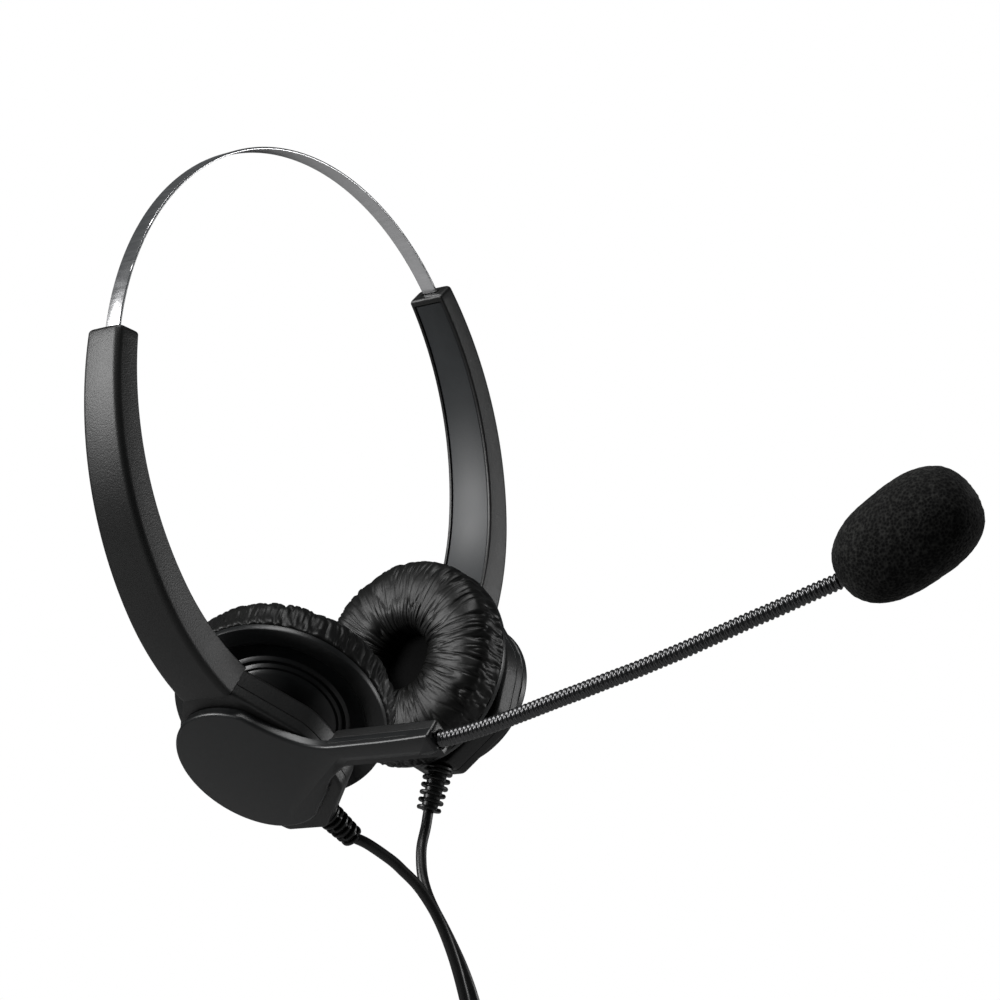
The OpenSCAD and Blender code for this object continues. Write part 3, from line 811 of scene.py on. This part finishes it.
def build_main_cord():
    """The main cord: from the splitter through five turns of the hank, then down through its
    middle and out between the turns to the plug."""
    half = HANK_RUN / 2
    outer, inner = HANK_FOLD_R + HANK_LAYER, HANK_FOLD_R
    turns = [
        (outer, -3.3, -4.9), (outer, 0, 1.7), (outer, 3.3, 4.9), (inner, 1.7, 4.9), (inner, -1.6, 1.7),
    ]
    curl_r = 6.8
    curl_x = -inner + 2 * curl_r
    last_y = -1.6
    points = []
    for here, there in zip(turns, turns[1:] + turns[-1:]):
        points += hank_lap(*here, *there[:2])
    points = points[:1 - FOLD_STEPS]
    for k in range(1, FOLD_STEPS):
        a = math.pi * k / FOLD_STEPS
        points.append((-inner + curl_r - curl_r * math.cos(a), last_y, half + curl_r * math.sin(a)))
    points += [
        (curl_x, last_y, half), (curl_x - 0.6, last_y, half / 3), (curl_x - 2.4, last_y, -half / 3),
        (0.5, last_y, -half), (0, last_y, -half - inner), (0, -1.4, -half - outer),
    ]
    centre = Vector((HANK_X, 0, HANK_Z))
    points = [centre + Vector(p) for p in points]
    start = [Vector((CORD_X, 0, CORD_START + 2)), Vector((CORD_X, -1.2, CORD_START - 5))]
    end = [
        Vector((HANK_X, y, z))
        for y, z in ((-0.5, HANK_FOOT - 2), (0, PLUG_TOP), (0, PLUG_TOP - 2.5))
    ]
    route, length = smooth_route(start + points + end, 1.6)
    cord = tube("main_cord_visual", route, lambda i: CORD_D / 2, sides=16)
    finish_piece(cord, "rubber_black", "headband", "main_cord", "cord_hank")
    return cord, route, length


def build_tie():
    """A hook-and-loop strap round the hank, with its end lapped over."""
    half_x, half_y, half_h = HANK_R + 0.6, HANK_T / 2 + 0.6, TIE_H / 2
    path = rounded_box(-half_x, -half_y, half_x, half_y, 3.5, 6)
    section = rounded_box(-0.5, -half_h, 0.5, half_h, 0.3, 2)
    rings = []
    for i, p in enumerate(path):
        along = (Vector(path[(i + 1) % len(path)]) - Vector(path[i - 1])).normalized()
        out = Vector((along.y, -along.x))
        places = [(Vector(p) + out * u, v) for u, v in section]
        rings.append([(HANK_X + at.x, at.y, HANK_Z + v) for at, v in places])
    strap = add_mesh("cord_strap", *skin(rings, wrap=True))
    flap_outline = fillet([(-7, -half_h, 0.3), (7, -half_h, 3), (7, half_h, 3), (-7, half_h, 0.3)], 6)
    flap_frame = frame_of(X_AXIS, Z_AXIS, -Y_AXIS, Vector((HANK_X, -half_y - 0.4, HANK_Z)))
    flap = plate("cord_strap_end", flap_outline, 0, 0.9, flap_frame, 0.1, 0.3)
    tie = joined("cord_strap", [strap, flap])
    return finish_piece(tie, "scrim_cloth", "headband", "cord_tie")


def build_splitter():
    """The moulded joint of the two leads and the main cord, with a taper at its foot."""
    rings = []
    sides = 48
    power = 0.75
    levels = [
        (1.5, 4.5, 2.0), (0.3, 4.8, 2.45), (-0.8, 5.0, 2.7), (-4, 4.8, 2.7), (-8, 3.9, 2.6),
        (-12, 2.9, 2.45), (-14.5, 2.5, 2.3), (-15.6, 2.2, 2.1), (-16.6, 1.9, 1.9),
    ]
    for z, half_y, half_x in levels:
        rings.append([
            (
                CORD_X + half_x * math.copysign(abs(math.cos(a)) ** power, math.cos(a)),
                half_y * math.copysign(abs(math.sin(a)) ** power, math.sin(a)),
                SPLITTER_TOP + z - 1.5,
            )
            for a in (2 * math.pi * k / sides for k in range(sides))
        ])
    splitter = add_mesh("splitter_moulding", *skin(rings), sharp=50)
    return finish_piece(splitter, "rubber_black", "headband", "y_splitter")


def build_relief(side):
    """A strain relief with staggered ribs on a tapered sleeve, and a collar at its root."""
    ribs = 6
    sides = 64
    pitch = RELIEF_LEN / ribs
    start = relief_point(side, 0)
    axis = (relief_point(side, 1) - start).normalized()
    across = (X_AXIS - axis * X_AXIS.dot(axis)).normalized()
    placed = frame_of(across, axis.cross(across), axis, start)
    # Each level is (height, radius, which way its two notches face; 0 is none)
    levels = [(-1.5, 1.5, 0), (0.1, 1.6, 0), (0.1, 3.7, 0), (0.6, 3.75, 0), (0.95, 3.4, 0)]
    for i in range(ribs):
        low = pitch * i + 0.9
        r = RELIEF_RIB_R[side] - 0.12 * i
        core = 2.55 - 0.08 * i
        turn = 1 + i % 2
        levels += [
            (low + 0.08, core, 0), (low + 0.12, r - 0.2, turn), (low + 0.35, r, turn),
            (low + 0.8, r, turn), (low + 1.02, r - 0.2, turn), (low + 1.06, core, 0),
        ]
    levels += [(RELIEF_LEN + 0.05, 1.9, 0), (RELIEF_LEN + 0.1, LEAD_D / 2, 0)]
    rings = []
    for z, r, turn in levels:
        ring = []
        for k in range(sides):
            a = 2 * math.pi * k / sides
            facing = math.cos(a + math.pi / 2 * turn) ** 2
            notch = max(0.0, (facing - 0.93) / 0.07) if turn else 0
            reach = r - 0.75 * notch
            ring.append((reach * math.cos(a), reach * math.sin(a), z))
        rings.append(ring)
    relief = add_mesh(f"ribbed_relief_{SIDES[side]}", *skin(rings), placed, sharp=40)
    finish_piece(relief, "rubber_black", f"arm_{SIDES[side]}", f"strain_relief_{SIDES[side]}")


# --- Headband and arms ---

def unit(degrees):
    """(distance outwards, height) of a unit vector at an angle from straight up."""
    a = math.radians(degrees)
    return Vector((math.sin(a), math.cos(a)))


BAND_CENTRE = Vector((0, -BAND_R))
UPPER_CENTRE = BAND_CENTRE + (BAND_R + BAND_T / 2 - UPPER_R) * unit(MOUTH_ANGLE)
LOWER_CENTRE = UPPER_CENTRE + (UPPER_R - LOWER_R) * unit(TURN_ANGLE)


def arm_point(angle, out):
    """A point beside the arm's middle line, which is two arcs that meet at the turn."""
    upper = angle < TURN_ANGLE
    centre = UPPER_CENTRE if upper else LOWER_CENTRE
    return centre + ((UPPER_R if upper else LOWER_R) + out) * unit(angle)


def arm_thickness(angle):
    """The thickness grows evenly with the angle."""
    share = (angle - MOUTH_ANGLE) / (ARM_END_ANGLE - MOUTH_ANGLE)
    return ARM_T[0] + (ARM_T[1] - ARM_T[0]) * share


def arm_width(angle):
    """The width grows evenly with the drop below the mouth."""
    mouth = arm_point(MOUTH_ANGLE, 0).y
    share = (mouth - arm_point(angle, 0).y) / (mouth - arm_point(ARM_FULL_ANGLE, 0).y)
    return ARM_W[0] + (ARM_W[1] - ARM_W[0]) * share


def seam_angle(out, seam):
    """The angle at which a line along the arm, out(angle) outwards, reaches the hub's seam."""
    low, high = TURN_ANGLE, ARM_END_ANGLE
    for _ in range(30):
        middle = (low + high) / 2
        far, height = arm_point(middle, out(middle))
        along = (far - HUB_Y) * math.sin(HUB_TILT) + (height + HUB_DROP) * math.cos(HUB_TILT)
        low, high = (middle, high) if along > seam else (low, middle)
    return (low + high) / 2


def arm_bar(name, side, section, start=0.0, seam=HUB_TOP, mouth_round=0.0):
    """A bar along the arm, from the mouth to the plane of the seam. section(angle) gives its
    outline as (across, out) pairs, and its rim at the mouth may be rounded."""
    steps = 64
    first = MOUTH_ANGLE + start
    rings = []
    for shrink, depth in reversed(quarter(mouth_round)) if mouth_round else ():
        angle = first + math.degrees(depth / UPPER_R)
        wide, thick = arm_width(angle) / 2, arm_thickness(angle) / 2
        rings.append([
            (across * (1 - shrink / wide), angle, out * (1 - shrink / thick))
            for across, out in section(angle)
        ])
    count = len(section(first))
    ends = [seam_angle(lambda angle: section(angle)[k][1], seam) for k in range(count)]
    body_start = first + math.degrees(mouth_round / UPPER_R)
    for step in range(1 if mouth_round else 0, steps + 1):
        angles = [body_start + (end - body_start) * step / steps for end in ends]
        pairs = [section(angle)[k] for k, angle in enumerate(angles)]
        rings.append([(across, angle, out) for angle, (across, out) in zip(angles, pairs)])
    solid = []
    for ring in rings:
        places = [(across, arm_point(angle, out)) for across, angle, out in ring]
        solid.append([(across, side * far, height) for across, (far, height) in places])
    return add_mesh(name, *skin(solid), sharp=30)


def shell_section(angle):
    """The shell's outline: a bar with small radii inwards and large ones outwards."""
    half, t = arm_width(angle) / 2, arm_thickness(angle)
    return fillet([(half, -t / 2, 0.5), (half, t / 2, 1.7), (-half, t / 2, 1.7), (-half, -t / 2, 0.5)], 5)


def pocket_section(low, high, gap, rim=0.0):
    """The section of a bar in the arm's inner face, from low to high above that face."""
    def section(angle):
        half, face = arm_width(angle) / 2 - ARM_RIM - gap, -arm_thickness(angle) / 2
        return fillet([
            (half, face + low, rim), (half, face + high, 0),
            (-half, face + high, 0), (-half, face + low, rim),
        ], 3)
    return section


def band_strip(name, r_in, r_out, half, from_angle, to_angle, steps, side=RIGHT, rim=0.0):
    """A strip along the band's arc between two angles from the crown."""
    section = rounded_box(-half, r_in, half, r_out, rim, 3)
    rings = []
    for k in range(steps + 1):
        a = math.radians(from_angle + (to_angle - from_angle) * k / steps)
        rings.append([(u, side * r * math.sin(a), -BAND_R + r * math.cos(a)) for u, r in section])
    return add_mesh(name, *skin(rings), sharp=30)


def build_band():
    """The spring-steel strip over the crown."""
    band = band_strip(
        "spring_band", BAND_R, BAND_R + BAND_T, BAND_W / 2, -BAND_END, BAND_END, 180, rim=0.22
    )
    finish_piece(band, "spring_steel", "headband", "steel_band")


def build_arm(side):
    """An arm: a shell with a slot for the strip and a pocket, and the cover in that pocket."""
    body, gap = f"arm_{SIDES[side]}", BAND_SLOT_GAP
    pocket = pocket_section(-1.5, 0.95, 0)
    shell = arm_bar(f"arm_shell_visual_{SIDES[side]}", side, shell_section, mouth_round=1.0)
    cut(shell, arm_bar("pocket", side, pocket, start=1.3, seam=HUB_TOP - 3))
    cut(shell, band_strip(
        "channel", BAND_R - gap, BAND_R + BAND_T + gap, BAND_W / 2 + gap,
        MOUTH_ANGLE - 4, BAND_END + 17, 40, side,
    ))
    soften(shell, 0.22)
    finish_piece(shell, "black_shell", body, f"arm_shell_{SIDES[side]}")
    lid = pocket_section(0.3, 0.94, 0.22, 0.2)
    cover = arm_bar(f"arm_cover_visual_{SIDES[side]}", side, lid, start=1.55, seam=HUB_TOP + 0.1)
    # The cover takes the paler copy of the satin black plastic: painted sheen.
    finish_piece(cover, "satin_cover", body, f"arm_cover_{SIDES[side]}", look=COVER_SATIN_PAINTED_SHEEN)


# --- Hubs and boom ---

def hub_outline():
    """A round hub with straight shoulders up to the arm and an angular foot for the lead."""
    right = arc(0, 0, HUB_R, 0, 25.5, 6)
    left = arc(0, 0, HUB_R, 154.5, 228, 14)
    top = [(ARM_W[1] / 2, HUB_TOP), (-ARM_W[1] / 2, HUB_TOP)]
    foot = fillet([
        (*left[-1], 0), (-5, -HUB_FOOT, 2.5), (7, -HUB_FOOT, 2.5), (HUB_R - 0.5, -11, 5), (*right[0], 0),
    ], 5)
    return right + top + left + foot[1:-1]


def build_hub(side):
    """A hub's two halves; the back one carries a rib and a boss for the cup's ball."""
    body = f"arm_{SIDES[side]}"
    placed = hub_frame(side)
    outline = hub_outline()
    join_gap = 0.05
    front = plate(
        f"hub_front_visual_{SIDES[side]}", outline, HUB_SPLIT + join_gap, HUB_FACE, placed, 0.12, 0.9
    )
    finish_piece(front, "black_shell", body, f"hub_front_{SIDES[side]}")
    back = plate(
        f"hub_back_shell_{SIDES[side]}", outline, HUB_INNER, HUB_SPLIT - join_gap, placed, 1.1, 0.12
    )
    rib_frame = placed @ frame_of(Y_AXIS, Z_AXIS, X_AXIS, Vector())
    rib_outline = [(22, -10.6), (6, -10.6), (8, -12.1), (15, -13.7), (21.5, -11.9)]
    rib_half = 4.5
    rib = plate("rib", rib_outline, -rib_half, rib_half, rib_frame, 0.4, 0.4)
    boss_profile = [(1.45, -10.8), (3.6, -10.8), (3.6, -11.9), (3.3, -12.1), (1.45, -12.1)]
    boss = lathe("boss", boss_profile, placed @ Matrix.Translation((PIVOT.x, PIVOT.y, 0)), 40)
    back = joined(f"hub_back_visual_{SIDES[side]}", [back, rib, boss])
    finish_piece(back, "black_shell", body, f"hub_back_{SIDES[side]}")


def build_hub_cap():
    """The left hub's cap: a shallow round lid with a raised rim."""
    r = DISC_R + 1.2
    profile = [(0, -2.95), (r - 0.3, -2.95), (r, -2.7)]
    profile += [(r - inwards, -depth) for inwards, depth in quarter(1.3, 6)]
    profile += [(r - 3.2, 0), (r - 3.8, -0.35), (0, -0.35)]
    rings = [circle(radius, z, 96) for radius, z in profile]
    cap = add_mesh("hub_cap_visual", *skin(rings, cap=False), hub_frame(LEFT))
    finish_piece(cap, "satin_cover", "arm_left", "hub_cap_left")


def boom_outline():
    """The boom's face: a disc that runs into the neck in one curve above and one below."""
    disc = arc(-0.5, 0, DISC_R + 0.2, 62, 302, 60)
    lower_start, lower_end = (17.5, -9.8), (29.5, -1.9)
    upper_start = (29.5, 5.3)
    lower = [lower_start, *bezier(lower_start, (22.3, -3.6), lower_end, 7), lower_end, (42, -2.2)]
    end = fillet([
        (50, -2.25, 0), (54.2, -2.2, 1.5), (NECK_LEN, 1.0, 0.8), (NECK_LEN, NECK_TOP, 0.7), (50, 5.6, 0),
    ], 4)
    upper = [(43.9, 5.4), upper_start, *bezier(upper_start, (19.2, 4.9), disc[0], 9)]
    return disc + lower + end + upper


def neck_chamfer(p):
    """The long slope under the neck's face, which starts in a small curve."""
    x, y = p
    slope_start, slope_full, fade_start = 24, 30, 53.5
    if y > 0.4 or x < slope_start:
        return (0, 0, 0)
    t = min(1.0, (x - slope_start) / (slope_full - slope_start))
    share = t * t * (3 - 2 * t)
    if x > fade_start:
        share *= max(0.0, 1 - (x - fade_start) / (NECK_LEN - fade_start))
    return (share, 3.9, 2.2)


def neck_outline(root_rise, tip_rise, low_r, high_r):
    """A layer of the neck, whose lower edge rises by these amounts at its root and its tip."""
    return fillet([
        (NECK_START, NECK_BOTTOM + root_rise, low_r), (NECK_LEN, NECK_BOTTOM + tip_rise, 0.8),
        (NECK_LEN, NECK_TOP - 0.3, 0.8), (NECK_START, NECK_TOP - 0.5, high_r),
    ], 4)


def build_boom():
    """The boom's face with its axle and core, the neck's back, and the ferrule in its end."""
    placed = hub_frame(RIGHT)
    face = plate("boom_face", boom_outline(), -DISC_T, 0, placed, 0.3, 0.85, neck_chamfer)
    core = plate(
        "neck_core", neck_outline(0, 0.4, 1, 1), -NECK_T / 2, -1.5, placed, 0.05, 0.05
    )
    axle_low, axle_high = HUB_FACE - 2.4, -DISC_T + 0.1
    axle_profile = [(0, axle_low), (4.5, axle_low), (4.5, axle_high), (0, axle_high)]
    axle = lathe("axle", axle_profile, placed, 40)
    back = plate(
        "neck_back_visual", neck_outline(0.5, 0.6, 1.5, 2), -NECK_T, -NECK_T / 2 - 0.04, placed, 0.8, 0.05
    )
    boom = joined("boom_visual", [face, axle])
    inwards = Matrix.Rotation(math.radians(-90), 4, "Y")
    socket = placed @ Matrix.Translation(GOOSENECK_EXIT + X_AXIS) @ inwards
    for piece in (core, back):
        rings = [circle(2.42, z, 48) for z in (0, 9)]
        cut(piece, add_mesh("socket_hole", *skin(rings), socket))
    boom = joined("boom_visual", [boom, core])
    finish_piece(boom, "satin_cover", "boom", "boom_hub")
    finish_piece(back, "black_shell", "boom", "boom_back")
    outwards = Matrix.Rotation(math.radians(90), 4, "Y")
    ferrule_profile = [(2.0, -6), (2.4, -6), (2.4, -0.5), (2.25, -0.3), (2.1, -0.35), (1.95, -0.7)]
    ferrule = lathe(
        "ferrule_visual", ferrule_profile, placed @ Matrix.Translation(GOOSENECK_EXIT) @ outwards, 48
    )
    finish_piece(ferrule, "rubber_black", "boom", "gooseneck_ferrule")


def build_gooseneck():
    """A close-wound steel coil in a gloss black coat, in two stretches split near its middle."""
    route, _ = smooth_route(GOOSENECK, GOOSENECK_STEP)
    split = min(range(len(route)), key=lambda i: abs(route[i].x - GOOSENECK_SPLIT_X))
    parts = (
        ("gooseneck_lower", route[:split + 1], "boom", (75, 107), 0),
        ("gooseneck_upper", route[split:], "microphone", (145, 113), split),
    )
    for name, stretch, end_body, (start_x, end_x), offset in parts:
        def radius_at(i, offset=offset):
            wave = math.sin(2 * math.pi * (i + offset) * GOOSENECK_STEP / GOOSENECK_PITCH)
            return GOOSENECK_D / 2 - 0.12 + 0.18 * math.copysign(abs(wave) ** 0.6, wave)
        piece = tube(name, stretch, radius_at, sides=24, sharp=80)
        finish_piece(piece, "gooseneck_steel", None, "gooseneck")
        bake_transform(piece)


def foam_frame():
    """The foam's frame, with +z along the gooseneck's end."""
    return (
        Matrix.Translation(FOAM_CENTRE)
        @ Matrix.Rotation(FOAM_SWING, 4, "Z")
        @ Matrix.Rotation(math.pi / 2 - FOAM_RISE, 4, "Y")
    )


def build_foam():
    """An open-cell foam windscreen: slightly lumpy, with a mouth round the gooseneck."""
    rings = []
    count = 56
    sides = 120
    for i in range(1, count):
        s = -math.cos(math.pi * i / count)
        r = FOAM_D / 2 * (1 - abs(s) ** 2.7) ** 0.42 * (0.95 + 0.05 * s)
        ring = []
        for k in range(sides):
            a = 2 * math.pi * k / sides
            p = Vector((r * math.cos(a), r * math.sin(a), s * FOAM_LEN / 2))
            lumps = noise.noise(p * 1.9) * 0.13 + noise.noise(p * 0.35) * 0.12
            ring.append(p * (1 + lumps / 14 - 0.012))
        if r > 2.2:
            rings.append(ring)
    foam = add_mesh("windscreen_visual", *skin(rings), foam_frame(), sharp=180)
    finish_piece(foam, "foam_black", "microphone", "foam_windscreen")


# --- Ear cups ---

def build_housing(side):
    """The cup's back: a domed middle, two moulded ring grooves, a recess and a satin flange."""
    dome = [
        (3.9, 1.15), (4.3, 1.05), (5.2, 0.4), (6.2, -0.3), (9, -1.3), (11.4, -2.6), (13.6, -4.1),
    ]
    grooves = [
        (14.2, -4.5), (14.6, -5.0), (15.0, -5.1), (15.3, -5.0), (15.6, -5.3), (15.9, -5.75),
        (16.6, -5.8), (17.0, -5.6), (17.4, -5.9), (17.8, -6.35),
    ]
    flange = [
        (21.4, -6.35), (21.9, -6.1), (22.2, -5.5), (22.6, -5.2), (26.6, -5.15), (27.0, -5.3),
        (27.2, -5.7), (27.2, -6.8),
    ]
    wall = [(25.8, -6.9), (25.8, -9.2), (24.4, -9.2), (24.4, -7.8)]
    inside = [(14.5, -7.8), (13, -6.6), (9, -4.4), (4.3, -3.4), (3.7, -1.5)]
    profile = dome + grooves + flange + wall + inside
    housing = lathe(f"housing_visual_{SIDES[side]}", profile, cup_frame(side), 128)
    finish_piece(housing, "satin_cover", f"cup_{SIDES[side]}", f"cup_housing_{SIDES[side]}")


def cushion_profile():
    """The cushion's section at rest, as (radius, z, how far it creases), from the skirt's edge
    round the face to the hole."""
    mid_r, half = (CUSHION_R + CUSHION_HOLE_R) / 2, (CUSHION_R - CUSHION_HOLE_R) / 2
    mid_z = CUSHION_BACK_Z - 2.6
    depth = mid_z - CUSHION_FRONT_Z
    steps = 36
    points = [
        (26.15, CUSHION_BACK_Z + 0.2, 0.0), (26.15, -7.4, 0.1), (26.5, -7.05, 0.2),
        (27.3, -7.0, 0.5), (27.7, -7.4, 0.8), (27.75, -8.2, 1.0), (27.7, -9.2, 1.0),
        (27.75, CUSHION_SEAM_Z, 1.0),
    ]
    for k in range(steps + 1):
        a = math.pi * k / steps
        c = math.cos(a)
        points.append((
            mid_r + half * math.copysign(abs(c) ** 0.8, c),
            mid_z - depth * math.sin(a) ** 0.75,
            0.6 + 0.4 * abs(c) ** 1.5,
        ))
    for z, amount in ((-11.4, 0.6), (-10.4, 0.3), (CUSHION_BACK_Z, 0.0)):
        points.append((CUSHION_HOLE_R, z, amount))
    return points


def creases(angle, radius, count, seed, width):
    """Sharp furrows that run outwards, about count of them in a turn; 1 in a furrow's bottom."""
    f = count / (2 * math.pi)
    spot = Vector((math.cos(angle) * f, math.sin(angle) * f, radius * 0.07 + seed))
    return max(0.0, 1 - abs(noise.noise(spot)) / width) ** 1.5


def build_cushion(side):
    """A leatherette cover over a foam ring: gathered into fine folds at the flange, puckered
    round the hole, with a seam where the skirt is welded to the face."""
    profile = cushion_profile()
    segments = 720
    seed = 11.3 * (side + 2)
    rings = []
    last = len(profile) - 1
    for j, (r, z, amount) in enumerate(profile):
        before, after = profile[max(0, j - 1)], profile[min(last, j + 1)]
        along = Vector((after[0] - before[0], after[1] - before[1])).normalized()
        on_skirt = j < CUSHION_SKIRT_POINTS
        normal = Vector((1, 0)) if on_skirt else Vector((-along.y, along.x))
        outer = max(0.0, min(1.0, (r - 21) / 5.0))
        inner = max(0.0, min(1.0, (17 - r) / 7.0))
        skirt = min(1.0, max(0.0, 1 - (j - CUSHION_SKIRT_POINTS - 1) / 4.0))
        seam = math.exp(-((z - CUSHION_SEAM_Z) / 0.3) ** 2) if 3 < j < 14 else 0
        ring = []
        for k in range(segments):
            a = 2 * math.pi * k / segments
            lump = noise.noise(Vector((math.cos(a) * r * 0.24, math.sin(a) * r * 0.24, z * 0.3 + seed)))
            deep = creases(a, r, 34, seed, 0.16)
            fine = creases(a, r * 1.5, 95, seed + 5, 0.22)
            folds = creases(a + 0.02 * z, z * 3, 90, seed + 9, 0.35)
            drop = -(0.4 + 0.6 * inner + 0.35 * outer) * deep * (1 - skirt)
            drop -= (0.2 + 0.15 * inner + 0.22 * outer) * fine * (1 - skirt)
            drop -= 0.6 * skirt * folds
            drop = (drop + 0.3 * lump * (1 - skirt)) * amount - 0.35 * seam * (0.6 + 0.8 * abs(lump))
            out = normal * drop
            ring.append(((r + out.x) * math.cos(a), (r + out.x) * math.sin(a), z + out.y))
        rings.append(ring)
    placed = cup_frame(side)
    cushion = add_mesh(
        f"cushion_visual_{SIDES[side]}", *skin(rings, cap=False, wrap=True), placed, sharp=180
    )
    finish_piece(cushion, "leatherette", f"cup_{SIDES[side]}", f"ear_cushion_{SIDES[side]}")


def paint_cad_nodes():
    """The CAD nodes that still show take the procedural material of their slot."""
    for entry in frame["record"]["subparts"]:
        node = frame["nodes"][entry["node"]]
        for place in node.material_slots:
            place.material = M[entry["material_slot"]]


build_band()
for side in (RIGHT, LEFT):
    build_arm(side)
    build_hub(side)
    build_relief(side)
    build_housing(side)
    build_cushion(side)
    build_lead(side)
build_hub_cap()
build_boom()
build_gooseneck()
build_foam()
splitter = build_splitter()
tie = build_tie()
main_cord, cord_route, cord_length = build_main_cord()
paint_cad_nodes()
